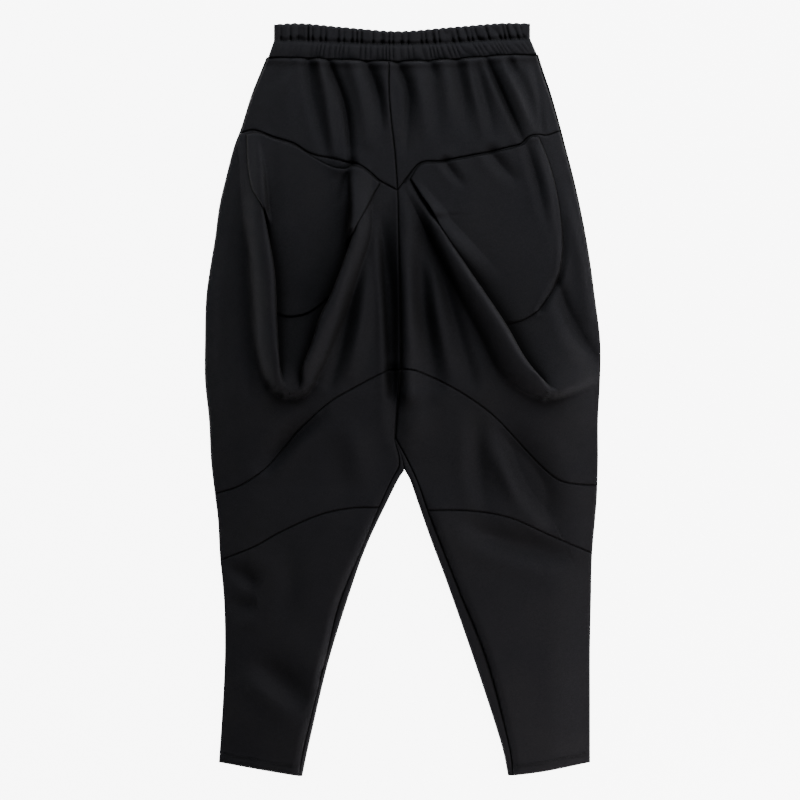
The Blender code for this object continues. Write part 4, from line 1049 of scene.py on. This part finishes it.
def makeBack(tag, half):
    # from the side across the back, round the inner leg and up to the inseam
    sign, turn = half["inward"], cloth["inseamZ"] / 2
    hip, tongue, low = back["hipRows"], back["gussetRows"], back["legRows"]
    outer, leg = sideLines[tag], smoothLine(half["leg"], back["linePoints"])
    seamLine = smoothLine(half["inseam"], back["linePoints"])
    middle = smoothLine(gusset, detail["inseam"])
    lap, top = sign * seamGap * back["overlap"], bandFoot[3][1]
    rows = []
    for row in range(hip + tongue + low + 1):
        if row <= hip:
            innerY = top - 2 * seamGap + (crotch[1] - top) * row / hip
            sideY = innerY
        else:
            v = min(1, (row - hip) / tongue)
            innerY = sideY = crotch[1] + (gapTip[1] - crotch[1]) * v
        if row > hip + tongue:
            v = (row - hip - tongue) / low
            innerY = gapTip[1] + (half["inseam"][-1][1] - gapTip[1]) * v
            sideY = gapTip[1] + (outline[-1][0] - gapTip[1]) * v
        isLow = row >= hip + tongue
        innerX = float(sideX(innerY, leg if isLow else np.array(backSeam)))
        grown = min(1, back["leastTurn"] + (gapTip[1] - innerY) / back["turnRun"])
        reach = turn * grown if isLow else 0
        flatEnd = innerX - sign * reach - lap
        sideAt = float(sideX(sideY, outer))
        t = np.linspace(0, 1, back["flatColumns"] + 1)
        flat = np.column_stack([sideAt + (flatEnd - sideAt) * t, sideY + (innerY - sideY) * t,
                                np.zeros(len(t))])
        if row < hip:
            lift = np.interp(flat[:, 0], bandX, bandY) - 2 * seamGap - flat[:, 1]
            topLift = np.interp(flat[:, 0], bandX, bandY) - top
            flat[:, 1] += topLift * (1 - row / hip)
        angles = np.linspace(0, np.pi, back["turnColumns"] + 1)[1:]
        arc = [(flatEnd + sign * reach * np.sin(a), innerY, turn * (1 - np.cos(a))) for a in angles]
        startX = arc[-1][0]
        if hip <= row < hip + tongue:
            startX = float(sideX(innerY, middle)) - lap
            arc[-1] = (startX, innerY, cloth["inseamZ"])
        endX = float(sideX(innerY, seamLine)) + lap if row >= hip else startX
        strip = [(startX + (endX - startX) * k / back["stripColumns"], innerY, cloth["inseamZ"])
                 for k in range(1, back["stripColumns"] + 1)]
        rows.append(np.vstack([flat, arc, strip]))
    points = np.array(rows)
    firstTurn = back["flatColumns"]
    firstStrip = firstTurn + back["turnColumns"]

    def leftOut(row, column):
        if column >= firstStrip:
            return row < hip
        return column >= firstTurn and row < hip + tongue

    piece = clothPiece("back_" + tag, points, -1, leftOut=leftOut)


for tag, half in halves.items():
    makeBack(tag, half)
    makeDrapePanel(tag, half)
    makePocket(tag, half)
    makeYoke(tag, half)
    makeThigh(tag, half)
    makeShin(tag, half)
    print("half made:", tag)

studio = {
    "floorSize": 12.0,
    "floorDrop": 0.0003,
    "floorTone": (0.9, 0.9, 0.9, 1),
    "floorGlow": 8.0,       # the photo's background is white
    "cameraHeight": 3.5,
    "viewWidth": 1.04,      # width of the picture at the cloth
    "viewCentre": (-3.35, -0.59),
    "roomTone": (0.95, 0.97, 1.0, 1),
    "roomLight": 0.02,
    "lights": [  # name, place, aim, size, power, colour
        ("key", (0.45, 1.85, 0.75), (0, 0, 0), (1.4, 0.6), 30, (0.92, 0.96, 1.0)),
        ("side", (1.8, 0.1, 0.55), (0, 0, 0), (1.2, 0.5), 6, (1.0, 0.95, 0.94)),
        ("low", (0.8, -0.9, 0.36), (0, -0.25, 0), (0.6, 0.4), 6.5, (1.0, 0.94, 0.93))],
}


def makeFloor():
    made, nodes, _ = newMaterial("pale floor")
    setSockets(nodes["Principled BSDF"], {
        "Base Color": studio["floorTone"], "Roughness": 0.9, "Emission Color": (1, 1, 1, 1),
        "Emission Strength": studio["floorGlow"]})
    bm = bmesh.new()
    bmesh.ops.create_grid(bm, x_segments=1, y_segments=1, size=studio["floorSize"] / 2,
                          matrix=Matrix.Translation((0, 0, -studio["floorDrop"])))
    newObject("floor", bm, made)


def makeLight(name, place, aim, size, power, color):
    data = bpy.data.lights.new(name, "AREA")
    data.shape = "RECTANGLE"
    data.size, data.size_y = size
    data.energy = power
    data.color = color
    light = bpy.data.objects.new(name, data)
    light.location = place
    light.rotation_mode = "QUATERNION"
    light.rotation_quaternion = (Vector(aim) - Vector(place)).to_track_quat("-Z", "Y")
    light.visible_camera = False
    bpy.context.collection.objects.link(light)


def makeStudio():
    makeFloor()
    for light in studio["lights"]:
        makeLight(*light)
    world = bpy.data.worlds.new("soft room")
    bpy.context.scene.world = world
    world.use_nodes = True
    setSockets(world.node_tree.nodes["Background"],
               {"Color": studio["roomTone"], "Strength": studio["roomLight"]})
    data = bpy.data.cameras.new("camera")
    data.sensor_width = 36
    data.lens = data.sensor_width * studio["cameraHeight"] / studio["viewWidth"]
    data.clip_end = 20
    camera = bpy.data.objects.new("camera", data)
    x, y = studio["viewCentre"]
    camera.location = (x * mm, y * mm, studio["cameraHeight"])
    bpy.context.collection.objects.link(camera)
    bpy.context.scene.camera = camera


makeStudio()
print("studio made")
